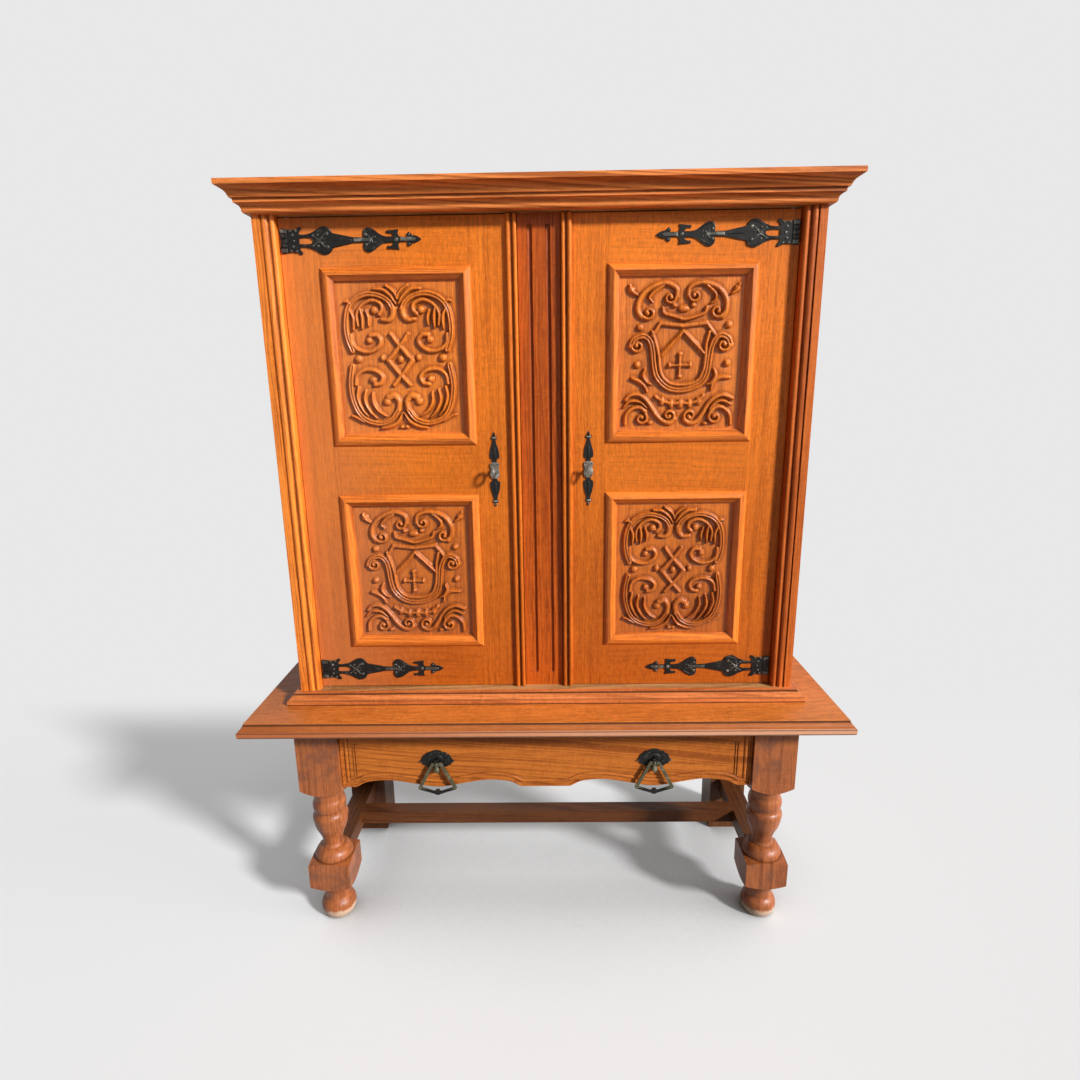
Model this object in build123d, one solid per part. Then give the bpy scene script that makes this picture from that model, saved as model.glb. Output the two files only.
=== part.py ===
"""Carved two-door oak cabinet on a stand with one drawer.

Millimetres. X runs left to right, the front faces -Y and Z is up. The origin lies on the floor,
under the middle of the moulded table top, which is the widest and the deepest piece.
"""
from build123d import *
import os

os.makedirs("parts", exist_ok=True)

# --- stand -----------------------------------------------------------------------------------
top_width = 1240.0
top_depth = 491.0
top_thickness = 30.0
top_edge_depth = 11.0
top_edge_fillet = 2.5
top_edge_nose_height = 2.5
top_edge_cove_height = 12.0
top_edge_foot_height = 2.0
leg_height = 501.0
leg_end_setback = 88.0
leg_block = 91.0
leg_setback_front = 65.0
leg_setback_back = 6.0
upper_block_height = 175.0
lower_block_bottom = 86.0
lower_block_top = 154.0
block_chamfer = 14.0
lower_block_chamfer = 9.0
lower_block_ease = 5.0
foot_bulge = 9.0
foot_floor_radius = 30.0
foot_height = 43.0
foot_neck_radius = 28.5
foot_neck_height = 9.0
dome_radius = 42.0
dome_height = 25.0
dome_bulge = 5.0
waist_radius = 21.0
waist_fillet = 7.0
vase_radius = 37.5
vase_shoulder_height = 18.0
vase_swell = 1.5
ring_radius = 36.2
ring_height = 27.0
ring_bulge = 3.2
ring_gap = 5.0
neck_radius = 32.0
neck_height = 25.0
neck_fillet = 4.0
neck_cone_height = 12.0
stretcher_thickness = 45.0
stretcher_height = 38.0
stretcher_top = 150.0
long_stretcher_thickness = 36.0
long_stretcher_height = 32.0
apron_thickness = 22.0
apron_height = 100.0
apron_setback = 5.0

# --- drawer ----------------------------------------------------------------------------------
drawer_front_thickness = 22.0
drawer_front_recess = 8.0
drawer_front_height = 154.0
drawer_arch_length = 179.0
drawer_arch_rise = 16.0
drawer_gap = 1.5
drawer_top_gap = 2.0
drawer_side_height = 105.0
drawer_side_thickness = 12.0
drawer_side_drop = 17.0
drawer_stop_thickness = 26.7
drawer_bottom_thickness = 6.0
drawer_bottom_raise = 8.0
runner_width = 29.0
runner_height = 13.7
runner_lip_width = 14.0
runner_lip_height = 20.0
runner_side_gap = 1.0
slide_clearance = 0.3

# --- drawer pulls ----------------------------------------------------------------------------
pull_end_distance = 207.5
pull_height = 413.0
pull_plate_width = 60.0
pull_plate_height = 42.0
pull_plate_thickness = 2.0
pull_tip_reach = 37.0
pull_tip_half_width = 9.0
bail_standoff = 7.0
bail_pin_radius = 2.0
bail_rod_radius = 2.4
bail_cheek = 2.4
bail_cheek_width = 6.0
bail_cheek_drop = 12.0
bail_cheek_rise = 3.0
pear_drop = 5.0
pear_length = 20.5
pear_top_radius = 3.0
pear_low_radius = 4.0
pear_bulge = 2.5
bail_tip_radius = 4.2
bail_tip_length = 7.0
bail_half_width = 37.0
bail_leg_drop = 67.0
bail_point_drop = 79.0
bail_top_half_width = 5.0
bail_leg_start = 24.0
stud_radius = 5.5
stud_flange_thickness = 2.0
stud_shank_radius = 2.5
stud_lug_thickness = 4.0
stud_lug_radius = 4.0
nut_radius = 5.0
nut_thickness = 4.0

# --- cupboard --------------------------------------------------------------------------------
cupboard_end_setback = 96.5
cupboard_front_setback = 111.0
cupboard_back_setback = 5.0
plinth_height = 23.0
plinth_overhang = 24.0
plinth_ledge = 11.0
plinth_fillet = 2.5
plinth_nose_height = 9.5
opening_height = 943.0
post_width = 40.0
post_depth = 45.0
post_band_width = 14.0
post_bead_width = 12.0
post_quirk_depth = 3.5
post_groove_depth = 6.0
side_thickness = 20.0
back_thickness = 8.0
cabinet_top_thickness = 18.0
mullion_width = 79.0
mullion_recess = 3.0
flute_radius = 5.0
flute_depth = 4.0
flute_spacing = 34.0
flute_bottom_margin = 29.0
flute_top_margin = 19.0
stop_lap = 12.5
stop_thickness = 19.5
shelf_thickness = 20.0
shelf_setback = 65.0
lower_shelf_height = 310.0
upper_shelf_height = 630.0
cleat_width = 20.0
cleat_height = 22.0

# --- cornice ---------------------------------------------------------------------------------
cornice_height = 50.0
cornice_overhang = 44.0
cornice_lap = 18.0
cornice_ledge = 8.0
fascia_height = 9.0
cove_setback = 3.0
cove_depth = 15.0
cove_hollow = 2.8
cornice_step_height = 6.3
small_cove_height = 9.5
small_cove_depth = 10.0
cornice_bead_height = 7.0
cornice_bead_depth = 4.0
dust_board_thickness = 8.0
dust_board_drop = 4.0

# --- doors -----------------------------------------------------------------------------------
door_thickness = 22.0
door_setback = 19.5
door_side_gap = 1.5
door_end_gap = 2.0
door_stop_gap = 1.0
hinge_stile_width = 76.5
lock_stile_width = 93.0
top_rail_height = 94.0
middle_rail_height = 111.0
bottom_rail_height = 97.0
upper_opening_height = 321.0
panel_thickness = 10.0
panel_recess = 5.0
panel_tongue = 7.0
moulding_width = 24.0
moulding_lap = 6.0
moulding_rise = 9.0
bead_strip_width = 20.5
bead_strip_base = 3.5
bead_inner_radius = 4.0
bead_outer_radius = 4.75
pivot_inset = 14.0
pivot_setback = 5.0
pivot_pin_radius = 2.0
pivot_pin_length = 14.0
pivot_flange_radius = 5.0
pivot_fit = 0.05
socket_radius = 3.6
socket_flange_gap = 0.2
socket_end_gap = 0.5

# --- iron fittings and locks -----------------------------------------------------------------
strap_length = 263.0
strap_height = 50.0
strap_thickness = 2.5
strap_plate_length = 42.0
strap_plate_height = 39.0
strap_lobe_distance = 44.0
strap_lobe_radius = 24.0
strap_fork_half_height = 14.0
strap_eye_distance = 12.0
strap_eye_radius = 11.0
strap_eye_half_height = 6.0
strap_blade_half_height = 4.0
strap_small_lobe_distance = 85.0
strap_small_lobe_radius = 19.0
strap_small_lobe_half_height = 17.0
strap_cross_distance = 45.0
strap_cross_length = 52.0
strap_cross_height = 34.0
strap_cross_bar = 8.0
strap_tip_length = 33.0
strap_tip_half_height = 9.0
strap_end_gap = 2.0
strap_inset = 40.0
escutcheon_length = 149.0
escutcheon_width = 22.0
escutcheon_thickness = 2.0
escutcheon_middle_radius = 15.0
escutcheon_lobe_distance = 36.0
escutcheon_lobe_radius = 20.0
finial_length = 26.0
finial_half_width = 6.0
escutcheon_bar_width = 7.0
key_backset = 52.7
key_height = 469.0
key_radius = 3.0
key_fit = 0.05
key_projection = 34.0
key_bow_height = 26.0
key_bow_length = 20.0
key_bow_thickness = 4.0
key_bow_bar = 4.0
key_collar_radius = 4.6
key_collar_length = 6.0
key_bit_reach = 12.0
key_bit_width = 3.0
key_bit_length = 5.0
key_bit_gap = 1.0
keyhole_clearance = 0.5
lock_width = 64.0
lock_height = 56.0
lock_depth = 14.0
lock_wall = 1.5
lock_edge_distance = 17.0
bolt_height = 14.0
bolt_thickness = 5.0
bolt_length = 50.0
bolt_rise = 14.0
bolt_throw = 12.0
bolt_clearance = 0.3
strike_clearance = 1.0

# --- places worked out from the sizes --------------------------------------------------------
front_edge = -top_depth / 2
back_edge = top_depth / 2
table_z = leg_height + top_thickness
leg_front = front_edge + leg_setback_front
leg_back = back_edge - leg_setback_back
leg_outer = top_width / 2 - leg_end_setback
leg_inner = leg_outer - leg_block
leg_axis_x = leg_outer - leg_block / 2
front_leg_axis_y = leg_front + leg_block / 2
rear_leg_axis_y = leg_back - leg_block / 2
post_front = front_edge + cupboard_front_setback
cupboard_back = back_edge - cupboard_back_setback
cupboard_half = top_width / 2 - cupboard_end_setback
floor_z = table_z + plinth_height
ceiling_z = floor_z + opening_height
total_height = ceiling_z + cornice_height
post_inner = cupboard_half - post_width
door_face = post_front + door_setback
door_back = door_face + door_thickness
door_hinge_edge = post_inner - door_side_gap
door_lock_edge = mullion_width / 2 + door_side_gap
door_bottom = floor_z + door_end_gap
door_top = ceiling_z - door_end_gap
pivot_x = door_hinge_edge - pivot_inset
pivot_y = door_face + pivot_setback
opening_left = door_lock_edge + lock_stile_width
opening_right = door_hinge_edge - hinge_stile_width
upper_opening = (door_top - top_rail_height - upper_opening_height, door_top - top_rail_height)
lower_opening = (door_bottom + bottom_rail_height, upper_opening[0] - middle_rail_height)
key_x = door_lock_edge + key_backset
key_z = floor_z + key_height
lock_x = door_lock_edge + lock_edge_distance
drawer_face = leg_front + drawer_front_recess
drawer_box_front = drawer_face + drawer_front_thickness
apron_back_face = leg_back - apron_setback
apron_front_face = apron_back_face - apron_thickness
drawer_box_back = apron_front_face - drawer_stop_thickness - slide_clearance
drawer_front_half = leg_inner - drawer_gap
pull_x = drawer_front_half - pull_end_distance
drawer_top = leg_height - drawer_top_gap
drawer_bottom = drawer_top - drawer_front_height
drawer_side_top = drawer_top - drawer_side_drop
drawer_side_bottom = drawer_side_top - drawer_side_height
runner_top = drawer_side_bottom - slide_clearance
runner_inner = leg_inner - runner_width
drawer_half = leg_inner - runner_lip_width - runner_side_gap
bolt_z = key_z + bolt_rise
bolt_y = door_back + lock_depth / 2


# --- helpers ---------------------------------------------------------------------------------
def block(x0, x1, y0, y1, z0, z1):
    """Box between two corners."""
    size = Box(x1 - x0, y1 - y0, z1 - z0, align=(Align.MIN, Align.MIN, Align.MIN))
    return Pos(x0, y0, z0) * size


def outline_face(start, steps, place):
    """Face inside an outline of corners.

    A corner with a third number ends an arc, which bulges by that much to the left of its chord.
    """
    edges = []
    here = start
    for step in steps:
        end = step[:2]
        if len(step) == 3:
            run, climb = end[0] - here[0], end[1] - here[1]
            share = step[2] / (run ** 2 + climb ** 2) ** 0.5
            crest = ((here[0] + end[0]) / 2 - climb * share, (here[1] + end[1]) / 2 + run * share)
            edges.append(Edge.make_three_point_arc(place(here), place(crest), place(end)))
        else:
            edges.append(Edge.make_line(place(here), place(end)))
        here = end
    edges.append(Edge.make_line(place(here), place(start)))
    return Face(Wire(edges))


def length_along_x(start, steps, half, place):
    """Moulded length that runs along X over both sides of the middle."""
    face = outline_face(start, steps, lambda p: Vector(-half, *place(p)))
    return extrude(face, amount=2 * half, dir=(1, 0, 0))


def length_along_y(start, steps, y0, y1, place):
    """Moulded length that runs along Y, for the right-hand side."""
    def at(point):
        x, z = place(point)
        return Vector(x, y0, z)
    face = outline_face(start, steps, at)
    return extrude(face, amount=y1 - y0, dir=(0, 1, 0))


def plan_prism(points, z0, z1):
    """Prism that stands on a plan outline."""
    face = outline_face(points[0], points[1:], lambda p: Vector(p[0], p[1], z0))
    return extrude(face, amount=z1 - z0, dir=(0, 0, 1))


def flipped(shape):
    """The same piece on the left-hand side."""
    return mirror(shape, about=Plane.YZ)


def both_sides(shape):
    return Compound([shape, flipped(shape)])


def ring_of_lengths(start, steps, overhang, depth, z0, z1, outside):
    """Front length and right-hand return of a moulding that is mitred round the cupboard."""
    half = cupboard_half + overhang
    front_y = post_front - overhang
    front = length_along_x(start, steps, half, lambda p: (front_y + p[0], p[1]))
    front_plan = [(-half, front_y), (half, front_y),
                  (half - depth, front_y + depth), (-half + depth, front_y + depth)]
    side = length_along_y(start, steps, front_y, outside, lambda p: (half - p[0], p[1]))
    side_plan = [(half, front_y), (half, outside), (half - depth, outside),
                 (half - depth, front_y + depth)]
    return (front & plan_prism(front_plan, z0, z1)), (side & plan_prism(side_plan, z0, z1))


# --- stand -----------------------------------------------------------------------------------
def table_top():
    """Slab whose moulded edge runs round the front and both sides."""
    top = table_z
    step = top_edge_depth
    low = leg_height
    cove = top - top_edge_fillet
    nose = cove - top_edge_cove_height
    foot = low + top_edge_foot_height

    def edge(inner):
        return [(step, cove), (step - 1.5, cove - 0.5), (0, nose, -1.9), (0, nose - top_edge_nose_height),
                (step / 2, foot, -1.7), (step - 2.0, foot), (step - 2.0, low), (inner, low), (inner, top)]

    lengthways = length_along_x((step, top), edge(top_depth), top_width / 2,
                                lambda p: (front_edge + p[0], p[1]))
    half = length_along_y((step, top), edge(top_width / 2), front_edge, back_edge,
                          lambda p: (top_width / 2 - p[0], p[1]))
    return lengthways & (half + flipped(half))


def front_leg():
    """Turned leg with two square blocks and a bun foot, for the right-hand side."""
    half = leg_block / 2
    corner = half * 2 ** 0.5 + 1.0
    block_low = leg_height - upper_block_height
    low = lower_block_bottom
    high = lower_block_top
    rise = block_chamfer
    neck_bottom = foot_height + 3.0
    waist = high + dome_height + waist_fillet
    ring_top = block_low - neck_height - neck_fillet
    ring_bottom = ring_top - ring_height
    vase_top = ring_bottom - ring_gap
    vase_shoulder = vase_top - vase_shoulder_height
    vase_middle = (waist + vase_shoulder) / 2
    vase_middle_radius = (waist_radius + vase_radius) / 2
    turning = [
        (foot_floor_radius, 0), (foot_neck_radius + 1.5, foot_height, -foot_bulge),
        (foot_neck_radius, neck_bottom), (foot_neck_radius, neck_bottom + foot_neck_height),
        (half, low, 3.5), (corner, low + lower_block_chamfer), (corner, high - lower_block_ease),
        (half, high), (dome_radius, high), (waist_radius + 3.0, high + dome_height, -dome_bulge),
        (waist_radius, waist), (vase_middle_radius, vase_middle, vase_swell),
        (vase_radius, vase_shoulder, -vase_swell), (vase_radius - 3.5, vase_top, -2.5),
        (ring_radius - ring_bulge, ring_bottom), (ring_radius - ring_bulge, ring_top, -ring_bulge),
        (neck_radius, ring_top + neck_fillet), (neck_radius + 1.0, block_low - neck_cone_height),
        (half, block_low, 2.0),
        (corner, block_low + rise), (corner, leg_height), (0, leg_height)]
    face = outline_face((0, 0), turning, lambda p: Vector(p[0], 0, p[1]))
    turned = revolve(face, Axis.Z)
    square = block(-half, half, -half, half, 0, leg_height)
    return Pos(leg_axis_x, front_leg_axis_y, 0) * (turned & square)


def rear_leg():
    return block(leg_inner, leg_outer, leg_back - leg_block, leg_back, 0, leg_height)


def side_stretcher():
    x0 = leg_axis_x - stretcher_thickness / 2
    x1 = leg_axis_x + stretcher_thickness / 2
    return block(x0, x1, leg_front + leg_block, leg_back - leg_block,
                 stretcher_top - stretcher_height, stretcher_top)


def long_stretcher():
    half = leg_axis_x - stretcher_thickness / 2
    middle = (front_leg_axis_y + rear_leg_axis_y) / 2
    return block(-half, half, middle - long_stretcher_thickness / 2,
                 middle + long_stretcher_thickness / 2,
                 stretcher_top - long_stretcher_height, stretcher_top)


def side_apron():
    x1 = leg_outer - apron_setback
    return block(x1 - apron_thickness, x1, leg_front + leg_block, leg_back - leg_block,
                 leg_height - apron_height, leg_height)


def back_apron():
    return block(-leg_inner, leg_inner, apron_front_face, apron_back_face,
                 leg_height - apron_height, leg_height)


def drawer_runner():
    """L-shaped runner against the inner faces of the legs, with a stop at its back end."""
    y0 = drawer_box_front + slide_clearance
    lip_z = runner_top + runner_lip_height
    bed = block(runner_inner, leg_inner, y0, apron_front_face, runner_top - runner_height, runner_top)
    lip = block(leg_inner - runner_lip_width, leg_inner, y0, apron_front_face, runner_top, lip_z)
    stop = block(runner_inner, leg_inner - runner_lip_width, drawer_box_back + slide_clearance,
                 apron_front_face, runner_top, lip_z)
    return bed + lip + stop


def drawer_kicker():
    y0 = drawer_box_front + slide_clearance
    return block(runner_inner, leg_inner, y0, apron_front_face,
                 drawer_side_top + drawer_top_gap, leg_height)


# --- drawer ----------------------------------------------------------------------------------
def drawer_front():
    """Front with two shallow arches on each side of the middle, which meet under the pull."""
    half = drawer_front_half
    span = drawer_arch_length
    rise = drawer_arch_rise
    crown = [(0.12 * span, 0.12 * rise), (0.53 * span, 0.95 * rise, 0.06 * rise),
             (0.88 * span, 0.70 * rise, 0.20 * rise), (span, 0, -0.12 * rise)]
    face = outline_face((0, 0), crown,
                        lambda p: Vector(pull_x + p[0], drawer_face, drawer_bottom + p[1]))
    outer = extrude(face, amount=drawer_front_thickness, dir=(0, 1, 0))
    inner = mirror(outer, about=Plane(origin=(pull_x, 0, 0), z_dir=(1, 0, 0)))
    front = block(-half, half, drawer_face, drawer_box_front, drawer_bottom, drawer_top)
    for arch in (outer, inner):
        front = front - arch - flipped(arch)
    for x in (-pull_x, pull_x):
        hole = Pos(x, drawer_face, pull_height) * Rot(90, 0, 0) * Cylinder(
            stud_shank_radius, 2 * drawer_front_thickness + 2)
        front -= hole
    return front


def drawer_side():
    return block(drawer_half - drawer_side_thickness, drawer_half, drawer_box_front, drawer_box_back,
                 drawer_side_bottom, drawer_side_top)


def drawer_back():
    half = drawer_half - drawer_side_thickness
    return block(-half, half, drawer_box_back - drawer_side_thickness, drawer_box_back,
                 drawer_side_bottom + drawer_bottom_raise + drawer_bottom_thickness, drawer_side_top)


def drawer_floor():
    half = drawer_half - drawer_side_thickness
    low = drawer_side_bottom + drawer_bottom_raise
    return block(-half, half, drawer_box_front, drawer_box_back, low, low + drawer_bottom_thickness)


def pull_plate(x):
    """Oval plate with a pointed tip at each side."""
    oval = Ellipse(pull_plate_width / 2, pull_plate_height / 2)
    tips = Polygon((-pull_tip_reach, 0), (0, -pull_tip_half_width), (pull_tip_reach, 0),
                   (0, pull_tip_half_width), align=None)
    flat = Plane(origin=(x, drawer_face, pull_height), x_dir=(1, 0, 0), z_dir=(0, -1, 0)) * (oval + tips)
    plate = extrude(flat, amount=pull_plate_thickness, dir=(0, -1, 0))
    hole = Pos(x, drawer_face, pull_height) * Rot(90, 0, 0) * Cylinder(
        stud_shank_radius, 4 * pull_plate_thickness)
    return plate - hole


def pull_stud(x):
    """Stud with a cross-bored lug in front, a shank through the drawer front and a nut inside."""
    plate_front = drawer_face - pull_plate_thickness
    axis_y = plate_front - bail_standoff
    flange_y = plate_front - stud_flange_thickness / 2
    flange = Pos(x, flange_y, pull_height) * Rot(90, 0, 0) * Cylinder(stud_radius, stud_flange_thickness)
    lug = block(x - stud_lug_thickness / 2, x + stud_lug_thickness / 2, axis_y, flange_y,
                pull_height - stud_lug_radius, pull_height + stud_lug_radius)
    lug += Pos(x, axis_y, pull_height) * Rot(0, 90, 0) * Cylinder(stud_lug_radius, stud_lug_thickness)
    lug -= Pos(x, axis_y, pull_height) * Rot(0, 90, 0) * Cylinder(
        bail_pin_radius + pivot_fit, 2 * stud_lug_thickness)
    shank_end = drawer_box_front + nut_thickness
    shank = Pos(x, (plate_front + shank_end) / 2, pull_height) * Rot(90, 0, 0) * Cylinder(
        stud_shank_radius, shank_end - plate_front)
    nut = Pos(x, drawer_box_front + nut_thickness / 2, pull_height) * Rot(90, 0, 0) * extrude(
        RegularPolygon(nut_radius, 6), amount=nut_thickness / 2, both=True)
    return flange + lug + shank + nut


def bail(x):
    """Hanging pull: a pin in the lug, a pear-shaped drop and a splayed frame with a point."""
    y = drawer_face - pull_plate_thickness - bail_standoff
    gap = stud_lug_thickness / 2 + slide_clearance
    centre_line = Polygon((-bail_top_half_width, -bail_leg_start), (-bail_half_width, -bail_leg_drop),
                          (0, -bail_point_drop), (bail_half_width, -bail_leg_drop),
                          (bail_top_half_width, -bail_leg_start), align=None)
    frame = offset(centre_line, amount=bail_rod_radius, kind=Kind.INTERSECTION)
    frame -= offset(centre_line, amount=-bail_rod_radius, kind=Kind.INTERSECTION)
    place = Plane(origin=(x, y, pull_height), x_dir=(1, 0, 0), z_dir=(0, -1, 0))
    shape = extrude(place * frame, amount=bail_rod_radius, both=True)
    pear_low = -pear_drop - pear_length
    pear = [(pear_low_radius, pear_low + 1.0), (pear_top_radius, -2 * pear_drop, -pear_bulge),
            (pear_top_radius, -pear_drop), (0, -pear_drop)]
    half_pear = outline_face((0, pear_low), pear, lambda p: Vector(p[0], 0, p[1]))
    shape += Pos(x, y, pull_height) * revolve(half_pear, Axis.Z)
    for side in (-1, 1):
        middle = x + side * (gap + bail_cheek / 2)
        shape += block(middle - bail_cheek / 2, middle + bail_cheek / 2,
                       y - bail_cheek_width / 2, y + bail_cheek_width / 2,
                       pull_height - bail_cheek_drop, pull_height + bail_cheek_rise)
    shape += Pos(x, y, pull_height) * Rot(0, 90, 0) * Cylinder(bail_pin_radius, 2 * gap + bail_cheek)
    shape += Pos(x, y, pull_height - bail_point_drop) * Rot(90, 0, 0) * Cylinder(
        bail_tip_radius, bail_tip_length)
    return shape


# --- cupboard --------------------------------------------------------------------------------
def plinth_lengths():
    step = plinth_overhang - plinth_ledge
    ogee = floor_z - plinth_fillet
    nose = table_z + plinth_nose_height
    steps = [(step, floor_z), (step, ogee), (step - 1.5, ogee - 0.5), (1.5, nose + 1.0, 0.3), (0, nose),
             (0, table_z), (plinth_overhang, table_z)]
    return ring_of_lengths((plinth_overhang, floor_z), steps, plinth_overhang, plinth_overhang,
                           table_z, floor_z, cupboard_back)


def cornice_lengths():
    """Crown moulding: fascia, large cove, fillet, small cove and bead, with a ledge inside."""
    top = total_height
    over = cornice_overhang
    board_z = top - dust_board_drop - dust_board_thickness
    carcass_top = ceiling_z + cabinet_top_thickness
    inner = over + cornice_lap
    bead = ceiling_z + cornice_bead_height
    small_cove = bead + small_cove_height
    cove = small_cove + cornice_step_height
    fascia = top - fascia_height
    cove_end = cove_setback + cove_depth
    step = over - cornice_bead_depth - small_cove_depth - 7.5
    bead_setback = step + small_cove_depth
    steps = [(0, fascia), (cove_setback, fascia - 1.5), (cove_end, cove + 0.7, cove_hollow),
             (step, cove), (step, small_cove), (bead_setback, bead, 1.9),
             (bead_setback + cornice_bead_depth, ceiling_z, -1.6), (over, ceiling_z),
             (over, carcass_top), (inner, carcass_top), (inner, board_z),
             (inner - cornice_ledge, board_z), (inner - cornice_ledge, top)]
    return ring_of_lengths((0, top), steps, over, inner, ceiling_z, top, cupboard_back)


def cornice_back_rail():
    top = total_height
    board_z = top - dust_board_drop - dust_board_thickness
    inner = cupboard_half - cornice_lap
    rail = block(-inner, inner, cupboard_back - cornice_lap, cupboard_back,
                 ceiling_z + cabinet_top_thickness, board_z)
    lip = block(-inner - cornice_ledge, inner + cornice_ledge,
                cupboard_back - cornice_lap + cornice_ledge, cupboard_back, board_z, top)
    return rail + lip


def dust_board():
    half = cupboard_half - cornice_lap + cornice_ledge
    top = total_height - dust_board_drop
    return block(-half, half, post_front + cornice_lap - cornice_ledge,
                 cupboard_back - cornice_lap + cornice_ledge, top - dust_board_thickness, top)


def carcass_board(z0, z1):
    """Full board under or over the doors, with the holes of the pivot pins."""
    board = block(-cupboard_half, cupboard_half, post_front, cupboard_back, z0, z1)
    for x in (-pivot_x, pivot_x):
        board -= Pos(x, pivot_y, (z0 + z1) / 2) * Cylinder(pivot_pin_radius, z1 - z0)
    return board


def side_panel():
    return block(cupboard_half - side_thickness, cupboard_half, post_front + post_depth, cupboard_back,
                 floor_z, ceiling_z)


def back_panel():
    half = cupboard_half - side_thickness
    return block(-half, half, cupboard_back - back_thickness, cupboard_back, floor_z, ceiling_z)


def front_post():
    """Post beside the right-hand door: a flat band, a large bead, a quirk and a small bead."""
    bead = post_band_width + 1.5
    bead_end = bead + post_bead_width
    profile = [(post_band_width, 0), (bead, post_quirk_depth),
               (bead_end, post_quirk_depth, -post_quirk_depth), (bead_end + 1.0, post_groove_depth),
               (bead_end + 2.5, post_groove_depth), (post_width, post_groove_depth + 1.0, -4.0),
               (post_width, post_depth), (0, post_depth)]
    face = outline_face((0, 0), profile,
                        lambda p: Vector(cupboard_half - p[0], post_front + p[1], floor_z))
    return extrude(face, amount=opening_height, dir=(0, 0, 1))


def centre_mullion():
    """Fixed upright between the doors, with two round-ended flutes."""
    half = mullion_width / 2
    front = door_face + mullion_recess
    upright = block(-half, half, front, door_back + door_stop_gap, floor_z, ceiling_z)
    low = floor_z + flute_bottom_margin + flute_radius
    high = ceiling_z - flute_top_margin - flute_radius
    for x in (-flute_spacing / 2, flute_spacing / 2):
        y = front - flute_radius + flute_depth
        upright -= Pos(x, y, (low + high) / 2) * Cylinder(flute_radius, high - low)
        upright -= Pos(x, y, low) * Sphere(flute_radius)
        upright -= Pos(x, y, high) * Sphere(flute_radius)
    return upright


def mullion_stop():
    """Upright behind the mullion that both doors close against, with a pocket for each bolt."""
    half = mullion_width / 2 + stop_lap
    y0 = door_back + door_stop_gap
    stop = block(-half, half, y0, y0 + stop_thickness, floor_z, ceiling_z)
    reach = lock_x - bolt_throw - strike_clearance
    pocket = block(reach, half + 1, bolt_y - bolt_thickness / 2 - strike_clearance,
                   bolt_y + bolt_thickness / 2 + strike_clearance,
                   bolt_z - bolt_height / 2 - strike_clearance,
                   bolt_z + bolt_height / 2 + strike_clearance)
    return stop - pocket - flipped(pocket)


def shelf(height):
    half = cupboard_half - side_thickness
    return block(-half, half, post_front + shelf_setback, cupboard_back - back_thickness,
                 floor_z + height, floor_z + height + shelf_thickness)


def shelf_cleats():
    """Strips under the ends and the back of each shelf."""
    side = cupboard_half - side_thickness
    y0 = post_front + shelf_setback
    back = cupboard_back - back_thickness
    strips = []
    for height in (lower_shelf_height, upper_shelf_height):
        z1 = floor_z + height
        end = block(side - cleat_width, side, y0, back, z1 - cleat_height, z1)
        strips.append(end)
        strips.append(flipped(end))
        strips.append(block(-side + cleat_width, side - cleat_width, back - cleat_width, back,
                            z1 - cleat_height, z1))
    return Compound(strips)


def pivot_pin(x, upper):
    """Pin with a flange that stands in the floor or hangs from the top board."""
    flange = door_end_gap - socket_flange_gap
    seat = ceiling_z if upper else floor_z
    towards_door = -1 if upper else 1
    root_depth = cabinet_top_thickness if upper else plinth_height
    tip = seat + towards_door * (door_end_gap + pivot_pin_length)
    root = seat - towards_door * root_depth
    pin = Pos(x, pivot_y, (tip + root) / 2) * Cylinder(pivot_pin_radius, abs(tip - root))
    disc = Pos(x, pivot_y, seat + towards_door * flange / 2) * Cylinder(pivot_flange_radius, flange)
    return pin + disc


# --- doors, modelled for the right-hand side -------------------------------------------------
def panel_board(opening):
    return block(opening_left - panel_tongue, opening_right + panel_tongue, door_face + panel_recess,
                 door_face + panel_recess + panel_thickness,
                 opening[0] - panel_tongue, opening[1] + panel_tongue)


def socket_space(upper):
    length = pivot_pin_length + 2 * socket_end_gap
    z = door_top - length / 2 if upper else door_bottom + length / 2
    return Pos(pivot_x, pivot_y, z) * Cylinder(socket_radius, length)


def pivot_sockets():
    """Bushes in the top and bottom edge of the door."""
    sockets = []
    for upper in (False, True):
        space = socket_space(upper)
        bore_end = door_top if upper else door_bottom
        bore = Pos(pivot_x, pivot_y, bore_end) * Cylinder(
            pivot_pin_radius + pivot_fit, 2 * (pivot_pin_length + socket_end_gap))
        sockets.append(space - bore)
    return Compound(sockets)


def keyhole():
    """Round hole with a slot below it, through the stile and the escutcheon."""
    r = key_radius + keyhole_clearance
    length = door_thickness + 4 * escutcheon_thickness
    y = (door_face + door_back) / 2
    hole = Pos(key_x, y, key_z) * Rot(90, 0, 0) * Cylinder(r, length)
    width = key_bit_width / 2 + keyhole_clearance
    slot = block(key_x - width, key_x + width, y - length / 2, y + length / 2,
                 key_z - key_bit_reach - keyhole_clearance, key_z)
    return hole + slot


def stiles():
    hinge = block(door_hinge_edge - hinge_stile_width, door_hinge_edge, door_face, door_back,
                  door_bottom, door_top)
    lock = block(door_lock_edge, door_lock_edge + lock_stile_width, door_face, door_back,
                 door_bottom, door_top)
    for opening in (lower_opening, upper_opening):
        hinge -= panel_board(opening)
        lock -= panel_board(opening)
    hinge = hinge - socket_space(True) - socket_space(False)
    return Compound([hinge, lock - keyhole()])


def rails():
    spans = [(door_bottom, lower_opening[0]), (lower_opening[1], upper_opening[0]),
             (upper_opening[1], door_top)]
    pieces = []
    for low, high in spans:
        rail = block(opening_left, opening_right, door_face, door_back, low, high)
        for opening in (lower_opening, upper_opening):
            rail -= panel_board(opening)
        pieces.append(rail)
    return Compound(pieces)


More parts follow.
